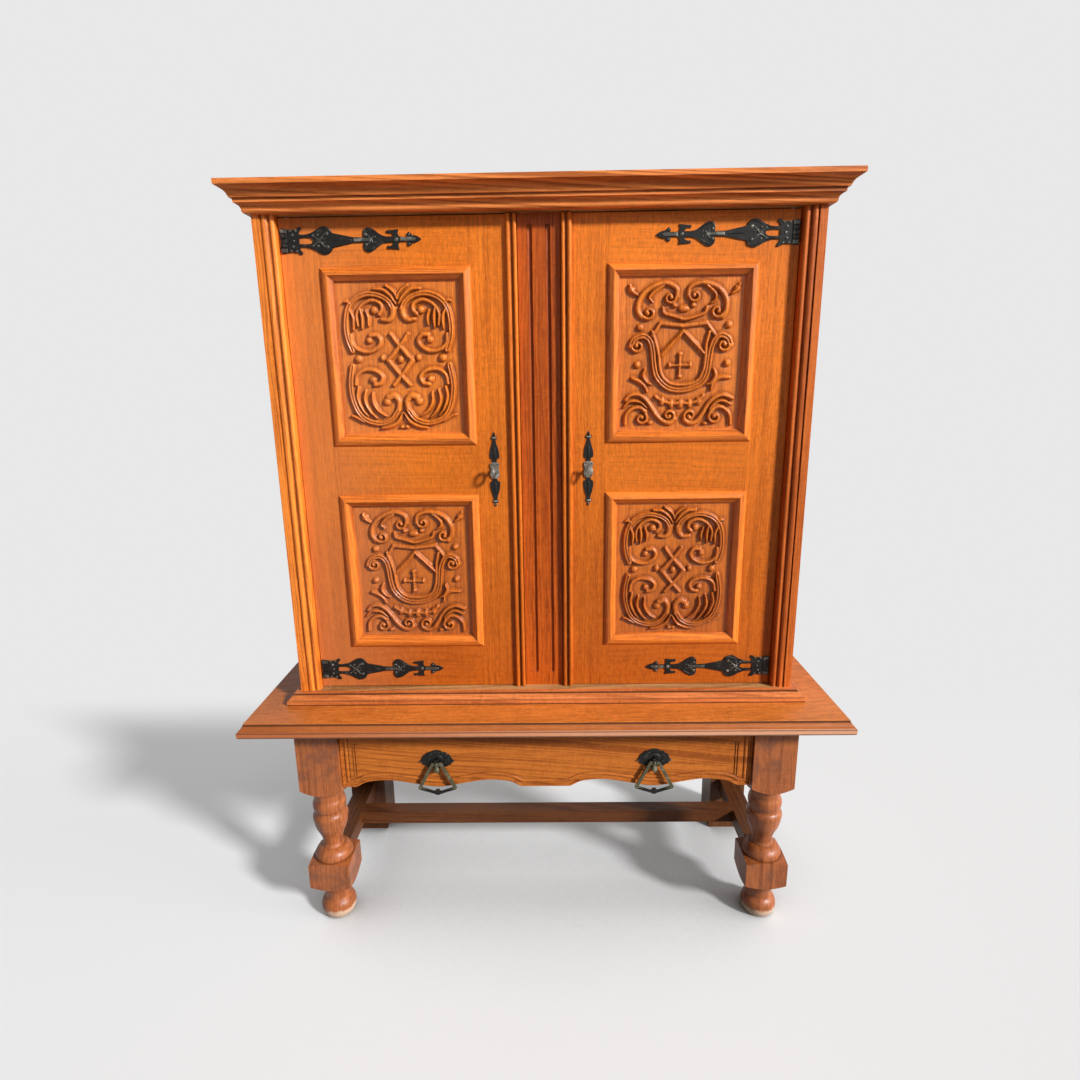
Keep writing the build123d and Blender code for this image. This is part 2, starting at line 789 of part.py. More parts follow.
def panel_mouldings():
    """Four mitred lengths round each panel, rebated over the edge of the frame."""
    w = moulding_width
    rise = moulding_rise
    lap = moulding_lap
    section = [(3.5, rise - 2.0, 1.3), (11.0, rise - 0.8, 1.4), (w - 3.0, 0.5, -0.3),
               (w - 2.0, -1.5), (w, -2.0), (w, -panel_recess), (lap, -panel_recess), (lap, 0)]
    pieces = []
    for opening in (lower_opening, upper_opening):
        x0 = opening_left - lap
        x1 = opening_right + lap
        z0 = opening[0] - lap
        z1 = opening[1] + lap
        corners = [(x0, z0), (x1, z0), (x1, z1), (x0, z1)]
        for index in range(4):
            pieces.append(moulding_length(section, corners[index], corners[(index + 1) % 4]))
    return Compound(pieces)


def moulding_length(section, start, end):
    """One mitred length on the door face, from one outer corner to the next."""
    w = moulding_width
    along = Vector(end[0] - start[0], 0, end[1] - start[1])
    length = along.length
    along = along.normalized()
    inward = Vector(-along.Z, 0, along.X)
    origin = Vector(start[0], door_face, start[1])

    def place(point):
        return origin + inward * point[0] + Vector(0, -point[1], 0)

    face = outline_face((0, 0), section, place)
    whole = extrude(face, amount=length, dir=along)
    depth = 2 * (moulding_rise + panel_recess)
    plan = [(0, 0), (length, 0), (length - w, w), (w, w)]

    def place_plan(point):
        return origin + along * point[0] + inward * point[1] + Vector(0, depth / 2, 0)

    mitre = extrude(outline_face(plan[0], plan[1:], place_plan), amount=depth, dir=(0, -1, 0))
    return whole & mitre


def bead_strip():
    """Double bead along the closing edge of the door."""
    base = bead_strip_base
    groove = base - 1.5
    a = 2 * bead_inner_radius
    b = bead_strip_width - 2 * bead_outer_radius
    profile = [(0, base), (a, base, bead_inner_radius), (a + 0.5, groove), (b - 0.5, groove), (b, base),
               (bead_strip_width, base, bead_outer_radius), (bead_strip_width, 0)]
    face = outline_face((0, 0), profile,
                        lambda p: Vector(door_lock_edge + p[0], door_face - p[1], door_bottom))
    return extrude(face, amount=door_top - door_bottom, dir=(0, 0, 1))


def on_door_face(flat, x, z, thickness):
    """Flat iron shape laid on the door: sketch X runs along -X from x, sketch Y runs up."""
    placed = Plane(origin=(x, door_face, z), x_dir=(-1, 0, 0), z_dir=(0, 1, 0)) * flat
    return extrude(placed, amount=thickness, dir=(0, -1, 0))


def strap_outline():
    """Plate, pierced fork, two heart lobes, a tapered blade, a cross and a pointed tip."""
    plate_end = strap_plate_length
    neck = strap_fork_half_height
    shoulder = strap_plate_height / 2 - 4.0
    lobe_x = plate_end + strap_lobe_distance
    small_lobe_x = strap_length - strap_small_lobe_distance
    cross_x = strap_length - strap_cross_distance
    blade_end = small_lobe_x - strap_small_lobe_radius + 5.0
    blade_half = strap_blade_half_height
    tip_x = strap_length - strap_tip_length
    plate = Pos(plate_end / 2, 0) * Rectangle(plate_end, strap_plate_height)
    fork = Polygon((plate_end, -shoulder), (lobe_x - 4.0, -neck), (lobe_x - 4.0, neck),
                   (plate_end, shoulder), align=None)
    fork -= Pos(plate_end + strap_eye_distance, 0) * Ellipse(strap_eye_radius, strap_eye_half_height)
    lobe = Pos(lobe_x, 0) * Ellipse(strap_lobe_radius, strap_height / 2)
    blade = Polygon((lobe_x + 11.0, -neck), (blade_end, -blade_half), (blade_end, blade_half),
                    (lobe_x + 11.0, neck), align=None)
    small_lobe = Pos(small_lobe_x, 0) * Ellipse(strap_small_lobe_radius, strap_small_lobe_half_height)
    bars = Rectangle(strap_cross_length, strap_cross_bar) + Rectangle(strap_cross_bar, strap_cross_height)
    tip = Polygon((tip_x, -strap_tip_half_height), (strap_length, 0), (tip_x, strap_tip_half_height),
                  align=None)
    return plate + fork + lobe + blade + small_lobe + Pos(cross_x, 0) * bars + tip


def hinge_straps():
    x = door_hinge_edge - strap_end_gap
    return Compound([on_door_face(strap_outline(), x, z, strap_thickness)
                     for z in (door_bottom + strap_inset, door_top - strap_inset)])


def escutcheon():
    half = escutcheon_length / 2
    wide = escutcheon_width / 2
    lobe_y = half - escutcheon_lobe_distance
    collar = half - finial_length / 2
    lobe = Ellipse(wide - 2.0, escutcheon_lobe_radius)
    flat = Ellipse(wide, escutcheon_middle_radius) + Pos(0, lobe_y) * lobe + Pos(0, -lobe_y) * lobe
    for end in (1, -1):
        flat += Polygon((0, end * half), (-end * finial_half_width, end * collar),
                        (0, end * (half - finial_length)), (end * finial_half_width, end * collar),
                        align=None)
    flat += Rectangle(escutcheon_bar_width, escutcheon_length - finial_length)
    return on_door_face(flat, key_x, key_z, escutcheon_thickness) - keyhole()


def lock_case():
    """Rim lock on the back of the door: a tray with a key hole and a slot for the bolt."""
    y1 = door_back + lock_depth
    z0 = key_z - lock_height / 2
    z1 = key_z + lock_height / 2
    case = block(lock_x, lock_x + lock_width, door_back, y1, z0, z1)
    case -= block(lock_x + lock_wall, lock_x + lock_width - lock_wall, door_back, y1 - lock_wall,
                  z0 + lock_wall, z1 - lock_wall)
    case -= Pos(key_x, y1, key_z) * Rot(90, 0, 0) * Cylinder(key_radius + key_fit, 4 * lock_wall)
    case -= block(lock_x - 1, lock_x + 2 * lock_wall,
                  bolt_y - bolt_thickness / 2 - bolt_clearance,
                  bolt_y + bolt_thickness / 2 + bolt_clearance,
                  bolt_z - bolt_height / 2 - bolt_clearance,
                  bolt_z + bolt_height / 2 + bolt_clearance)
    return case


def lock_bolt():
    return block(lock_x, lock_x + bolt_length, bolt_y - bolt_thickness / 2,
                 bolt_y + bolt_thickness / 2, bolt_z - bolt_height / 2, bolt_z + bolt_height / 2)


def key():
    """Key in its lock: an oval bow seen edge-on, a collar, a round shaft and a bit."""
    y0 = door_face - key_projection
    y1 = door_back + lock_depth
    bow_y = y0 + key_bow_length / 2
    collar_end = door_face - escutcheon_thickness - slide_clearance
    ring_place = Plane(origin=(key_x, bow_y, key_z), x_dir=(0, 1, 0), z_dir=(1, 0, 0))
    ring = Ellipse(key_bow_height / 2, key_bow_length / 2, rotation=90)
    ring -= Ellipse(key_bow_height / 2 - key_bow_bar, key_bow_length / 2 - key_bow_bar, rotation=90)
    bow = extrude(ring_place * ring, amount=key_bow_thickness / 2, both=True)
    shaft_start = y0 + key_bow_length - key_bow_bar / 2
    shaft = Pos(key_x, (shaft_start + y1) / 2, key_z) * Rot(90, 0, 0) * Cylinder(
        key_radius, y1 - shaft_start)
    collar = Pos(key_x, collar_end - key_collar_length / 2, key_z) * Rot(90, 0, 0) * Cylinder(
        key_collar_radius, key_collar_length)
    bit = block(key_x - key_bit_width / 2, key_x + key_bit_width / 2,
                door_back + key_bit_gap, door_back + key_bit_gap + key_bit_length,
                key_z - key_bit_reach, key_z)
    return bow + shaft + collar + bit


# --- all pieces ------------------------------------------------------------------------------
plinth_front, plinth_return = plinth_lengths()
cornice_front, cornice_return = cornice_lengths()
leg = front_leg()
back_leg = rear_leg()
post = front_post()
side = side_panel()
pulls = (-pull_x, pull_x)

pieces = {
    "table_top": table_top(),
    "front_leg_right": leg,
    "front_leg_left": flipped(leg),
    "rear_leg_right": back_leg,
    "rear_leg_left": flipped(back_leg),
    "side_stretchers": both_sides(side_stretcher()),
    "long_stretcher": long_stretcher(),
    "side_aprons": both_sides(side_apron()),
    "back_apron": back_apron(),
    "drawer_runners": both_sides(drawer_runner()),
    "drawer_kickers": both_sides(drawer_kicker()),
    "drawer_front": drawer_front(),
    "drawer_sides": both_sides(drawer_side()),
    "drawer_back": drawer_back(),
    "drawer_bottom": drawer_floor(),
    "pull_plates": Compound([pull_plate(x) for x in pulls]),
    "pull_studs": Compound([pull_stud(x) for x in pulls]),
    "bail_left": bail(pulls[0]),
    "bail_right": bail(pulls[1]),
    "cabinet_floor": carcass_board(table_z, floor_z),
    "cabinet_top": carcass_board(ceiling_z, ceiling_z + cabinet_top_thickness),
    "side_panel_right": side,
    "side_panel_left": flipped(side),
    "back_panel": back_panel(),
    "front_post_right": post,
    "front_post_left": flipped(post),
    "centre_mullion": centre_mullion(),
    "mullion_stop": mullion_stop(),
    "plinth_moulding": Compound([plinth_front, plinth_return, flipped(plinth_return)]),
    "cornice_front": cornice_front,
    "cornice_returns": both_sides(cornice_return),
    "cornice_back_rail": cornice_back_rail(),
    "dust_board": dust_board(),
    "shelves": Compound([shelf(lower_shelf_height), shelf(upper_shelf_height)]),
    "shelf_cleats": shelf_cleats(),
    "pivot_pins": Compound([pivot_pin(x, upper) for x in (-pivot_x, pivot_x) for upper in (False, True)]),
}

door_pieces = {
    "stiles": stiles(),
    "rails": rails(),
    "panel_upper": panel_board(upper_opening),
    "panel_lower": panel_board(lower_opening),
    "panel_mouldings": panel_mouldings(),
    "bead_strip": bead_strip(),
    "hinge_straps": hinge_straps(),
    "escutcheon": escutcheon(),
    "pivot_sockets": pivot_sockets(),
    "lock_case": lock_case(),
    "lock_bolt": lock_bolt(),
    "key": key(),
}
for name, shape in door_pieces.items():
    pieces[name + "_right"] = shape
    pieces[name + "_left"] = flipped(shape)

for name, shape in pieces.items():
    export_step(shape, f"parts/{name}.step")
print(len(pieces), "nodes, height", total_height)
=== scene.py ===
"""Carved two-door oak cabinet on a turned stand: finishes, carving and ironwork.

Metres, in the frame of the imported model. X runs left to right, the front faces -Y and Z is up.
"""
import math

import bmesh
import bpy
import numpy as np
from mathutils import Matrix, Vector


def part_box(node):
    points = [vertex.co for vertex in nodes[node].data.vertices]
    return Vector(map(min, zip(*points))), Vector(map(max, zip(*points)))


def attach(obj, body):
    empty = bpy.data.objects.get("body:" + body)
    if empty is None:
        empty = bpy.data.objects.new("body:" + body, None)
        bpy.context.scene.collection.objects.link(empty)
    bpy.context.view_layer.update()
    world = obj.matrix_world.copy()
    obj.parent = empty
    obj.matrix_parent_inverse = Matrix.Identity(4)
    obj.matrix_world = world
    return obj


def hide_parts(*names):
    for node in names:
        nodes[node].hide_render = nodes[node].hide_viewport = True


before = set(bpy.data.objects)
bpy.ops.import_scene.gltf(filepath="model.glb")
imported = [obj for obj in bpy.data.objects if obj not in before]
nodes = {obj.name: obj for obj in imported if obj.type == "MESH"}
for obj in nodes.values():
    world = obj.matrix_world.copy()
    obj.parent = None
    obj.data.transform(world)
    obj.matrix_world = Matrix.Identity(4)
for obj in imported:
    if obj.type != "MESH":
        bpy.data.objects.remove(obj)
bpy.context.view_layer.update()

scene = bpy.context.scene
scene.view_settings.view_transform = "Standard"

MM = 0.001
SIDES = {"left": -1.0, "right": 1.0}


# --- where things are ------------------------------------------------------------------------
def middle_of(name):
    """The middle of a solid's box."""
    low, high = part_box(name)
    return (low + high) / 2


# A panel's frame of mouldings stands this far inside the panel's own edges.
PANEL_LAP = 1.0 * MM


def panel_opening(level):
    """The outer edges of a right-hand panel's frame: left, right, bottom and top."""
    low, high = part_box(f"panel_{level}_right")
    return low.x + PANEL_LAP, high.x - PANEL_LAP, low.z + PANEL_LAP, high.z - PANEL_LAP


DOOR_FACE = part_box("rails_left")[0].y
OPENINGS = {level: panel_opening(level) for level in ("lower", "upper")}
PLINTH_LOW, PLINTH_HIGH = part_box("plinth_moulding")
# How far the plinth moulding's lengths reach in from their outer face.
PLINTH_WIDE = 24.0 * MM
TABLE_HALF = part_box("table_top")[1]
DRAWER_LOW, DRAWER_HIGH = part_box("drawer_front")
STRAP_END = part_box("hinge_straps_right")[1].x
# The heights of a door's two straps.
STRAP_LEVELS = (0.596, 1.455)
KEY_PLATE = middle_of("escutcheon_right")
BAIL = middle_of("bail_right")
PULL_LEVEL = middle_of("pull_plates").z


# --- tones -----------------------------------------------------------------------------------
def tone(red, green, blue):
    """A colour from its everyday 0-255 values, as the linear values that a shader takes."""
    return tuple(
        v / 12.92 if v <= 0.04045 else ((v + 0.055) / 1.055) ** 2.4
        for v in (red / 255, green / 255, blue / 255)
    )


def scaled(colour, share):
    return tuple(c * share for c in colour)


# --- finishes --------------------------------------------------------------------------------
class Wiring:
    """Nodes in one tree: each call lays one node, wires it up and hands back its output."""

    def __init__(self, tree):
        self.tree = tree
        self.tree.nodes.clear()

    def lay(self, kind, wires=(), out=0, **settings):
        node = self.tree.nodes.new(kind)
        for key, value in settings.items():
            setattr(node, key, value)
        for socket, value in dict(wires).items():
            if isinstance(value, bpy.types.NodeSocket):
                self.tree.links.new(value, node.inputs[socket])
            else:
                node.inputs[socket].default_value = value
        return node.outputs[out] if out is not None else node

    def math(self, operation, *values, clamp=False):
        return self.lay("ShaderNodeMath", enumerate(values), operation=operation, use_clamp=clamp)

    def plus(self, first, second):
        return self.math("ADD", first, second)

    def minus(self, first, second):
        return self.math("SUBTRACT", first, second)

    def times(self, first, second):
        return self.math("MULTIPLY", first, second)

    def swing(self, value, reach):
        """A value round a half, turned into one that swings both ways round nothing."""
        return self.times(self.minus(value, 0.5), reach)

    def noise(self, place, scale=1.0, detail=2.0, rough=0.5, bend=0.0):
        wires = {"Vector": place, "Scale": scale, "Detail": detail, "Roughness": rough,
                 "Distortion": bend}
        return self.lay("ShaderNodeTexNoise", wires)

    def spread(self, value, low, high, to_low=0.0, to_high=1.0, smooth=True):
        wires = {"Value": value, "From Min": low, "From Max": high, "To Min": to_low,
                 "To Max": to_high}
        kind = "SMOOTHSTEP" if smooth else "LINEAR"
        return self.lay("ShaderNodeMapRange", wires, interpolation_type=kind)

    def mix(self, share, first, second, blend="MIX"):
        if isinstance(first, tuple):
            first = (*first[:3], 1.0)
        if isinstance(second, tuple):
            second = (*second[:3], 1.0)
        return self.lay("ShaderNodeMix", {0: share, 6: first, 7: second}, out=2,
                        data_type="RGBA", blend_type=blend)

    def join(self, x, y, z):
        return self.lay("ShaderNodeCombineXYZ", {0: x, 1: y, 2: z})

    def where(self):
        """The place on the object, as one vector."""
        return self.lay("ShaderNodeTexCoord", out=3)

    def axes(self):
        """The place on the object, as x, y and z."""
        return tuple(self.lay("ShaderNodeSeparateXYZ", {0: self.where()}, out=None).outputs)


class Finish(Wiring):
    """A material being mixed."""

    def __init__(self, name):
        self.material = bpy.data.materials.new(name)
        self.material.use_nodes = True
        super().__init__(self.material.node_tree)

    def skin(self, shader):
        self.lay("ShaderNodeOutputMaterial", {0: shader}, out=None)
        return self.material

    def surface(self, sockets):
        return self.skin(self.lay("ShaderNodeBsdfPrincipled", sockets))


# Which axes run along, across and into the wood, for each run of the grain.
GRAIN_AXES = {"x": (0, 1, 2), "y": (1, 0, 2), "z": (2, 0, 1)}

# How often the wood varies in a metre, along its grain and across it.
SLOW_SWAY = (1.4, 6.0)
QUICK_SWAY = (6.0, 34.0)
BROAD_STREAKS = (4.0, 95.0)
FIBRES = (14.0, 330.0)
PORES = (60.0, 1300.0)
RAYS = (150.0, 60.0)

# How far the rings wander, in metres, and how unlike one year is to the next.
SLOW_WANDER = 0.075
QUICK_WANDER = 0.012
PLANK_WANDER = 0.11
YEAR_WANDER = 2.4

# How dark the pores are, how far the painted shade reaches out of a corner, and how deep the
# grain and the hammer marks are, in metres.
PORE_DEPTH = 0.45
CREVICE_SHADE_REACH = 0.012
WOOD_RELIEF = 0.0004
IRON_RELIEF = 0.0006


class Grain:
    """The run of the wood in one piece: places along, across and into it, board by board.

    A mitred frame turns its grain at each corner: its mitre is the other run, and where it holds."""

    def __init__(self, f, run, mitre, board):
        self.f = f
        self.where = f.where()
        axes = f.axes()
        runs = [axes[i] for i in GRAIN_AXES[run]]
        if mitre:
            other_run, turned = mitre
            turn = turned(f, *axes)
            others = [axes[i] for i in GRAIN_AXES[other_run]]
            runs = [f.lay("ShaderNodeMix", {0: turn, 2: a, 3: b}, data_type="FLOAT")
                    for a, b in zip(runs, others)]
        self.along, self.across, self.into = runs
        number = f.math("FLOOR", f.math("DIVIDE", self.across, board))
        self.plank = f.lay("ShaderNodeTexWhiteNoise", {"W": number}, noise_dimensions="1D")
        self.shift = f.join(f.times(self.plank, 31.0), f.times(self.plank, 17.0), 0.0)

    def stretched(self, lengthways, crossways, detail=2.0, rough=0.5, bend=0.0):
        """Noise drawn out along the wood, and different on each board."""
        f = self.f
        place = f.join(f.times(self.along, lengthways), f.times(self.across, crossways),
                       f.times(self.into, crossways))
        place = f.lay("ShaderNodeVectorMath", {0: place, 1: self.shift}, operation="ADD")
        return f.noise(place, 1.0, detail, rough, bend)


def year_rings(f, grain, ring, pith, lean):
    """How much of each spot is pale early wood, in rings round a pith that leans to the face."""
    sway = f.plus(f.swing(grain.stretched(*SLOW_SWAY), SLOW_WANDER),
                  f.swing(grain.stretched(*QUICK_SWAY), QUICK_WANDER))
    sway = f.plus(f.times(grain.plank, PLANK_WANDER), sway)
    off = f.plus(f.minus(grain.across, pith[0]), sway)
    deep = f.plus(f.minus(grain.into, pith[1]), f.times(grain.along, lean))
    radius = f.math("SQRT", f.plus(f.times(off, off), f.times(deep, deep)))
    years = f.math("DIVIDE", radius, ring)
    uneven = f.lay("ShaderNodeTexNoise", {"W": f.times(years, 0.45), "Scale": 1.0, "Detail": 1.0},
                   noise_dimensions="1D")
    years = f.plus(years, f.times(uneven, YEAR_WANDER))
    good = f.lay("ShaderNodeTexWhiteNoise", {"W": f.math("FLOOR", years)}, noise_dimensions="1D")
    phase = f.math("FRACT", years)
    late = f.times(f.spread(phase, 0.0, 0.3), f.spread(phase, 0.45, 1.0, 1.0, 0.0))
    return f.times(f.minus(1.0, late), f.plus(0.35, f.times(good, 0.65)))


def ray_flecks(f, grain, colour, light, dark, fleck):
    """The short pale rays of quartered oak, with a dark gap beside each, in patches."""
    flame = grain.stretched(*RAYS, 2.0, 0.6, 0.9)
    patch = f.spread(f.noise(grain.where, 11.0, 2.0), 0.36, 0.60, 0.3, 1.0)
    rays = f.times(f.spread(flame, 0.50, 0.68), patch)
    gaps = f.times(f.spread(flame, 0.32, 0.50, 1.0, 0.0), patch)
    colour = f.mix(f.times(rays, fleck), colour, scaled(light, 1.15))
    return f.mix(f.times(gaps, fleck), colour, dark)


def oak(name, light, dark, run, mitre=None, ring=0.0075, pith=(0.06, -0.09), lean=0.035,
        figure=0.6, fleck=0.3, streaks=0.7, mottle=1.2, dapples=(38.0, 210.0), drift=0.5,
        board=0.35, gloss=0.42, sheen=0.22, crevice_shade=0.75, carved=False, wear_and_shade=None):
    """Varnished oak, from its rings, streaks, dapples, pores and rays to the painted shade in its corners."""
    f = Finish(name)
    grain = Grain(f, run, mitre, board)
    early = year_rings(f, grain, ring, pith, lean)
    broad = grain.stretched(*BROAD_STREAKS, 3.0, 0.6)
    fibres = grain.stretched(*FIBRES, 3.0, 0.6)
    dapple = grain.stretched(*dapples, 3.0, 0.65)
    pores = f.times(f.spread(grain.stretched(*PORES, 2.0, 0.6), 0.52, 0.66),
                    f.plus(0.3, f.times(early, 0.7)))
    tint = f.noise(grain.where, 4.5, 3.0)
    share = f.plus(0.5, f.times(f.minus(early, 0.34), figure * 1.6))
    for part, reach in ((broad, streaks * 2.2), (fibres, streaks), (dapple, mottle),
                        (tint, drift * 2.0), (grain.plank, drift * 0.6)):
        share = f.plus(share, f.swing(part, reach))
    colour = f.mix(f.math("ADD", share, 0.0, clamp=True), light, dark)
    if fleck:
        colour = ray_flecks(f, grain, colour, light, dark, fleck)
    colour = f.mix(f.times(pores, PORE_DEPTH), colour, scaled(dark, 0.45))
    # Painted shade: darker where corners and creases shut a spot in.
    shut = f.lay("ShaderNodeAmbientOcclusion", {"Distance": CREVICE_SHADE_REACH}, out=1, samples=4,
                 only_local=True)
    colour = f.mix(f.spread(shut, 0.40, 0.98, crevice_shade, 0.0), colour, scaled(dark, 0.25))
    if carved:
        # Painted shade and stain in the carving's hollows, by their depth.
        hollow = f.lay("ShaderNodeAttribute", attribute_name="hollow", out=2)
        colour = f.mix(f.times(hollow, 0.75), colour, scaled(dark, 0.28))
    # Painted shade, wax and wear that a piece's own function lays on.
    if wear_and_shade:
        colour = wear_and_shade(f, colour)
    rough = f.plus(f.times(pores, 0.22), f.plus(gloss, f.swing(tint, 0.18)))
    lift = f.minus(f.times(fibres, 0.35), f.times(pores, 0.8))
    normal = f.lay("ShaderNodeBump", {"Strength": 0.35, "Distance": WOOD_RELIEF, "Height": lift})
    return f.surface({"Base Color": colour, "Roughness": rough, "Normal": normal,
                      "Specular IOR Level": sheen})


def iron(name, black, rubbed, rub, gloss=0.42, metal=0.75):
    """Blackened forged iron: hammered, with pewter showing where hands and cloths have rubbed."""
    f = Finish(name)
    where = f.where()
    blows = f.noise(where, 210.0, 2.0)
    scale = f.noise(where, 900.0, 3.0, 0.6)
    patch = f.noise(where, 60.0, 3.0, 0.55)
    colour = f.mix(f.times(f.spread(patch, 0.5, 0.72), rub), black, rubbed)
    colour = f.mix(f.times(f.spread(scale, 0.55, 0.7), 0.3), colour, scaled(black, 0.5))
    rough = f.plus(gloss, f.swing(scale, 0.3))
    height = f.plus(f.times(blows, 0.7), f.times(scale, 0.15))
    normal = f.lay("ShaderNodeBump", {"Strength": 0.5, "Distance": IRON_RELIEF, "Height": height})
    return f.surface({"Base Color": colour, "Metallic": metal, "Roughness": rough,
                      "Normal": normal, "Specular IOR Level": 0.3})


# --- the oak of each piece -------------------------------------------------------------------
def inside(f, place, first, last):
    """How far a place lies inside the stretch from first to last."""
    return f.minus((last - first) / 2, f.math("ABSOLUTE", f.minus(place, (first + last) / 2)))


def moulding_turned(f, x, y, z):
    """On a panel's frame: 1 where the moulding runs level, 0 where it stands upright."""
    left, right = OPENINGS["upper"][:2]
    from_side = inside(f, f.math("ABSOLUTE", x), left, right)
    upper, lower = (inside(f, z, *OPENINGS[level][2:]) for level in ("upper", "lower"))
    return f.math("LESS_THAN", f.math("MAXIMUM", upper, lower), from_side)


def plinth_turned(f, x, y, z):
    """On the plinth moulding: 1 on the returns, which run back, 0 along the front."""
    past_end = f.minus(f.math("ABSOLUTE", x), PLINTH_HIGH.x - PLINTH_WIDE)
    past_front = f.minus(PLINTH_LOW.y + PLINTH_WIDE, y)
    return f.math("GREATER_THAN", past_end, past_front)


# On the doors: the heights between which the painted shade at their foot fades out, and the places
# across between which the duller, browner left edge fades in.
FOOT_TO_TOP = (0.55, 1.35)
DULL_EDGE = (-0.20, -0.46)
# Painted shade: what is left of the red, green and blue where it falls.
RED_SHADE = (0.62, 0.55, 0.55)
BROWN_SHADE = (0.62, 0.55, 0.50)


def deeper_below(f, colour):
    """Painted shade on the doors, deeper and redder to the foot; the left edge is duller and browner."""
    x, _, z = f.axes()
    low = f.spread(z, *FOOT_TO_TOP, 1.0, 0.0)
    colour = f.mix(low, colour, RED_SHADE, blend="MULTIPLY")
    dull = f.mix(0.5, colour, tone(206, 128, 80))
    return f.mix(f.spread(x, *DULL_EDGE, 0.0, 0.8), colour, dull)


# On the table's edge, as heights or places across: each of these fades in, or out, from its first
# value to its second.
HOLLOW_BELOW = (0.5164, 0.5170)
HOLLOW_ABOVE = (0.5285, 0.5270)
NOSE_BELOW = (0.5172, 0.5164)
# The nose's painted highlight grows lighter to the right between these places across.
NOSE_LIT = (-0.55, 0.35)
# The painted shadow of the cabinet on the table's left end fades out between these places across.
SHADOWED_END = (-0.58, -0.40)
# Where old wax has gathered in a moulding's steps, with painted shade: height, and how dark the line is.
TABLE_WAX_AND_SHADE = ((0.5288, 0.9), (0.5272, 0.8), (0.5146, 0.7), (0.5050, 0.7), (0.5020, 0.7))
PLINTH_WAX_AND_SHADE = ((0.5515, 0.85), (0.5410, 0.45), (0.5318, 0.85))
WAX_AND_SHADE = (0.06, 0.018, 0.006)


def waxed_and_shaded(f, colour, z, lines, half):
    """Old wax and painted shade in level lines of a given half width."""
    for level, depth in lines:
        off = f.math("ABSOLUTE", f.minus(z, level))
        colour = f.mix(f.spread(off, half, half * 2.2, depth, 0.0), colour, WAX_AND_SHADE)
    return colour


def table_shade_and_wear(f, colour):
    """A shaded hollow, a pale worn nose with a painted highlight to the right, painted shadow on the left end
    and dark wax with painted shade in the steps of the table's edge.
    """
    x, _, z = f.axes()
    hollow = f.times(f.spread(z, *HOLLOW_BELOW), f.spread(z, *HOLLOW_ABOVE))
    colour = f.mix(f.times(hollow, 0.6), colour, tone(140, 74, 38))
    shadowed_end = f.spread(x, *SHADOWED_END, 0.7, 0.0)
    colour = f.mix(shadowed_end, colour, BROWN_SHADE, blend="MULTIPLY")
    worn_and_lit_nose = f.mix(f.spread(x, *NOSE_LIT), tone(176, 100, 64), tone(226, 172, 140))
    colour = f.mix(f.spread(z, *NOSE_BELOW, 0.0, 0.72), colour, worn_and_lit_nose)
    return waxed_and_shaded(f, colour, z, TABLE_WAX_AND_SHADE, 0.7 * MM)


def plinth_wax_and_shade(f, colour):
    return waxed_and_shaded(f, colour, f.axes()[2], PLINTH_WAX_AND_SHADE, 0.9 * MM)


# Heights on a front leg: where each block begins and ends, and where its worn sole ends.
UPPER_BLOCK_FROM = (0.345, 0.37)
LOWER_BLOCK_FROM = (0.075, 0.09)
LOWER_BLOCK_TO = (0.15, 0.16)
SOLE_TO = (0.018, 0.025)


def handled(f, colour):
    """Brown wear on a leg's two blocks, and a pale worn sole."""
    where = f.where()
    z = f.axes()[2]
    stain = f.spread(f.noise(where, 22.0, 4.0, 0.6), 0.42, 0.66)
    lower_block = f.times(f.spread(z, *LOWER_BLOCK_FROM), f.spread(z, *LOWER_BLOCK_TO, 1.0, 0.0))
    blocks = f.math("MAXIMUM", f.spread(z, *UPPER_BLOCK_FROM), lower_block)
    colour = f.mix(f.times(stain, f.times(blocks, 0.75)), colour, tone(116, 70, 48))
    ragged = f.plus(z, f.swing(f.noise(where, 90.0, 3.0), 0.016))
    return f.mix(f.spread(ragged, *SOLE_TO, 0.85, 0.0), colour, tone(212, 180, 152))


def wood(red, green, blue):
    """Light and dark wood of an oak whose overall tone is given."""
    middle = tone(red, green, blue)
    return {"light": (middle[0] * 1.32, middle[1] * 1.40, middle[2] * 1.5),
            "dark": (middle[0] * 0.68, middle[1] * 0.60, middle[2] * 0.5)}


door_oak = wood(222, 116, 30)
post_oak = wood(226, 124, 42)
shaded_post_oak = wood(190, 94, 34)
carve_oak = wood(218, 118, 36)
mould_oak = wood(216, 114, 36)
cornice_oak = wood(218, 124, 60)
table_oak = wood(204, 116, 46)
plinth_oak = wood(198, 112, 58)
drawer_oak = wood(176, 96, 34)
leg_oak = wood(154, 84, 42)
# Darker copies of the stand's oak for the stretchers, aprons and rear legs under the table: painted shade.
shaded_low_oak = wood(88, 48, 22)
shaded_rear_oak = wood(92, 54, 30)
red_oak = wood(176, 78, 16)
plain_oak = wood(176, 128, 78)

quartered = {"pith": (0.9, -0.2), "wear_and_shade": deeper_below, **door_oak}
bold_figure = {"figure": 0.9, "ring": 0.011, "fleck": 0.0, "lean": 0.06, **cornice_oak}

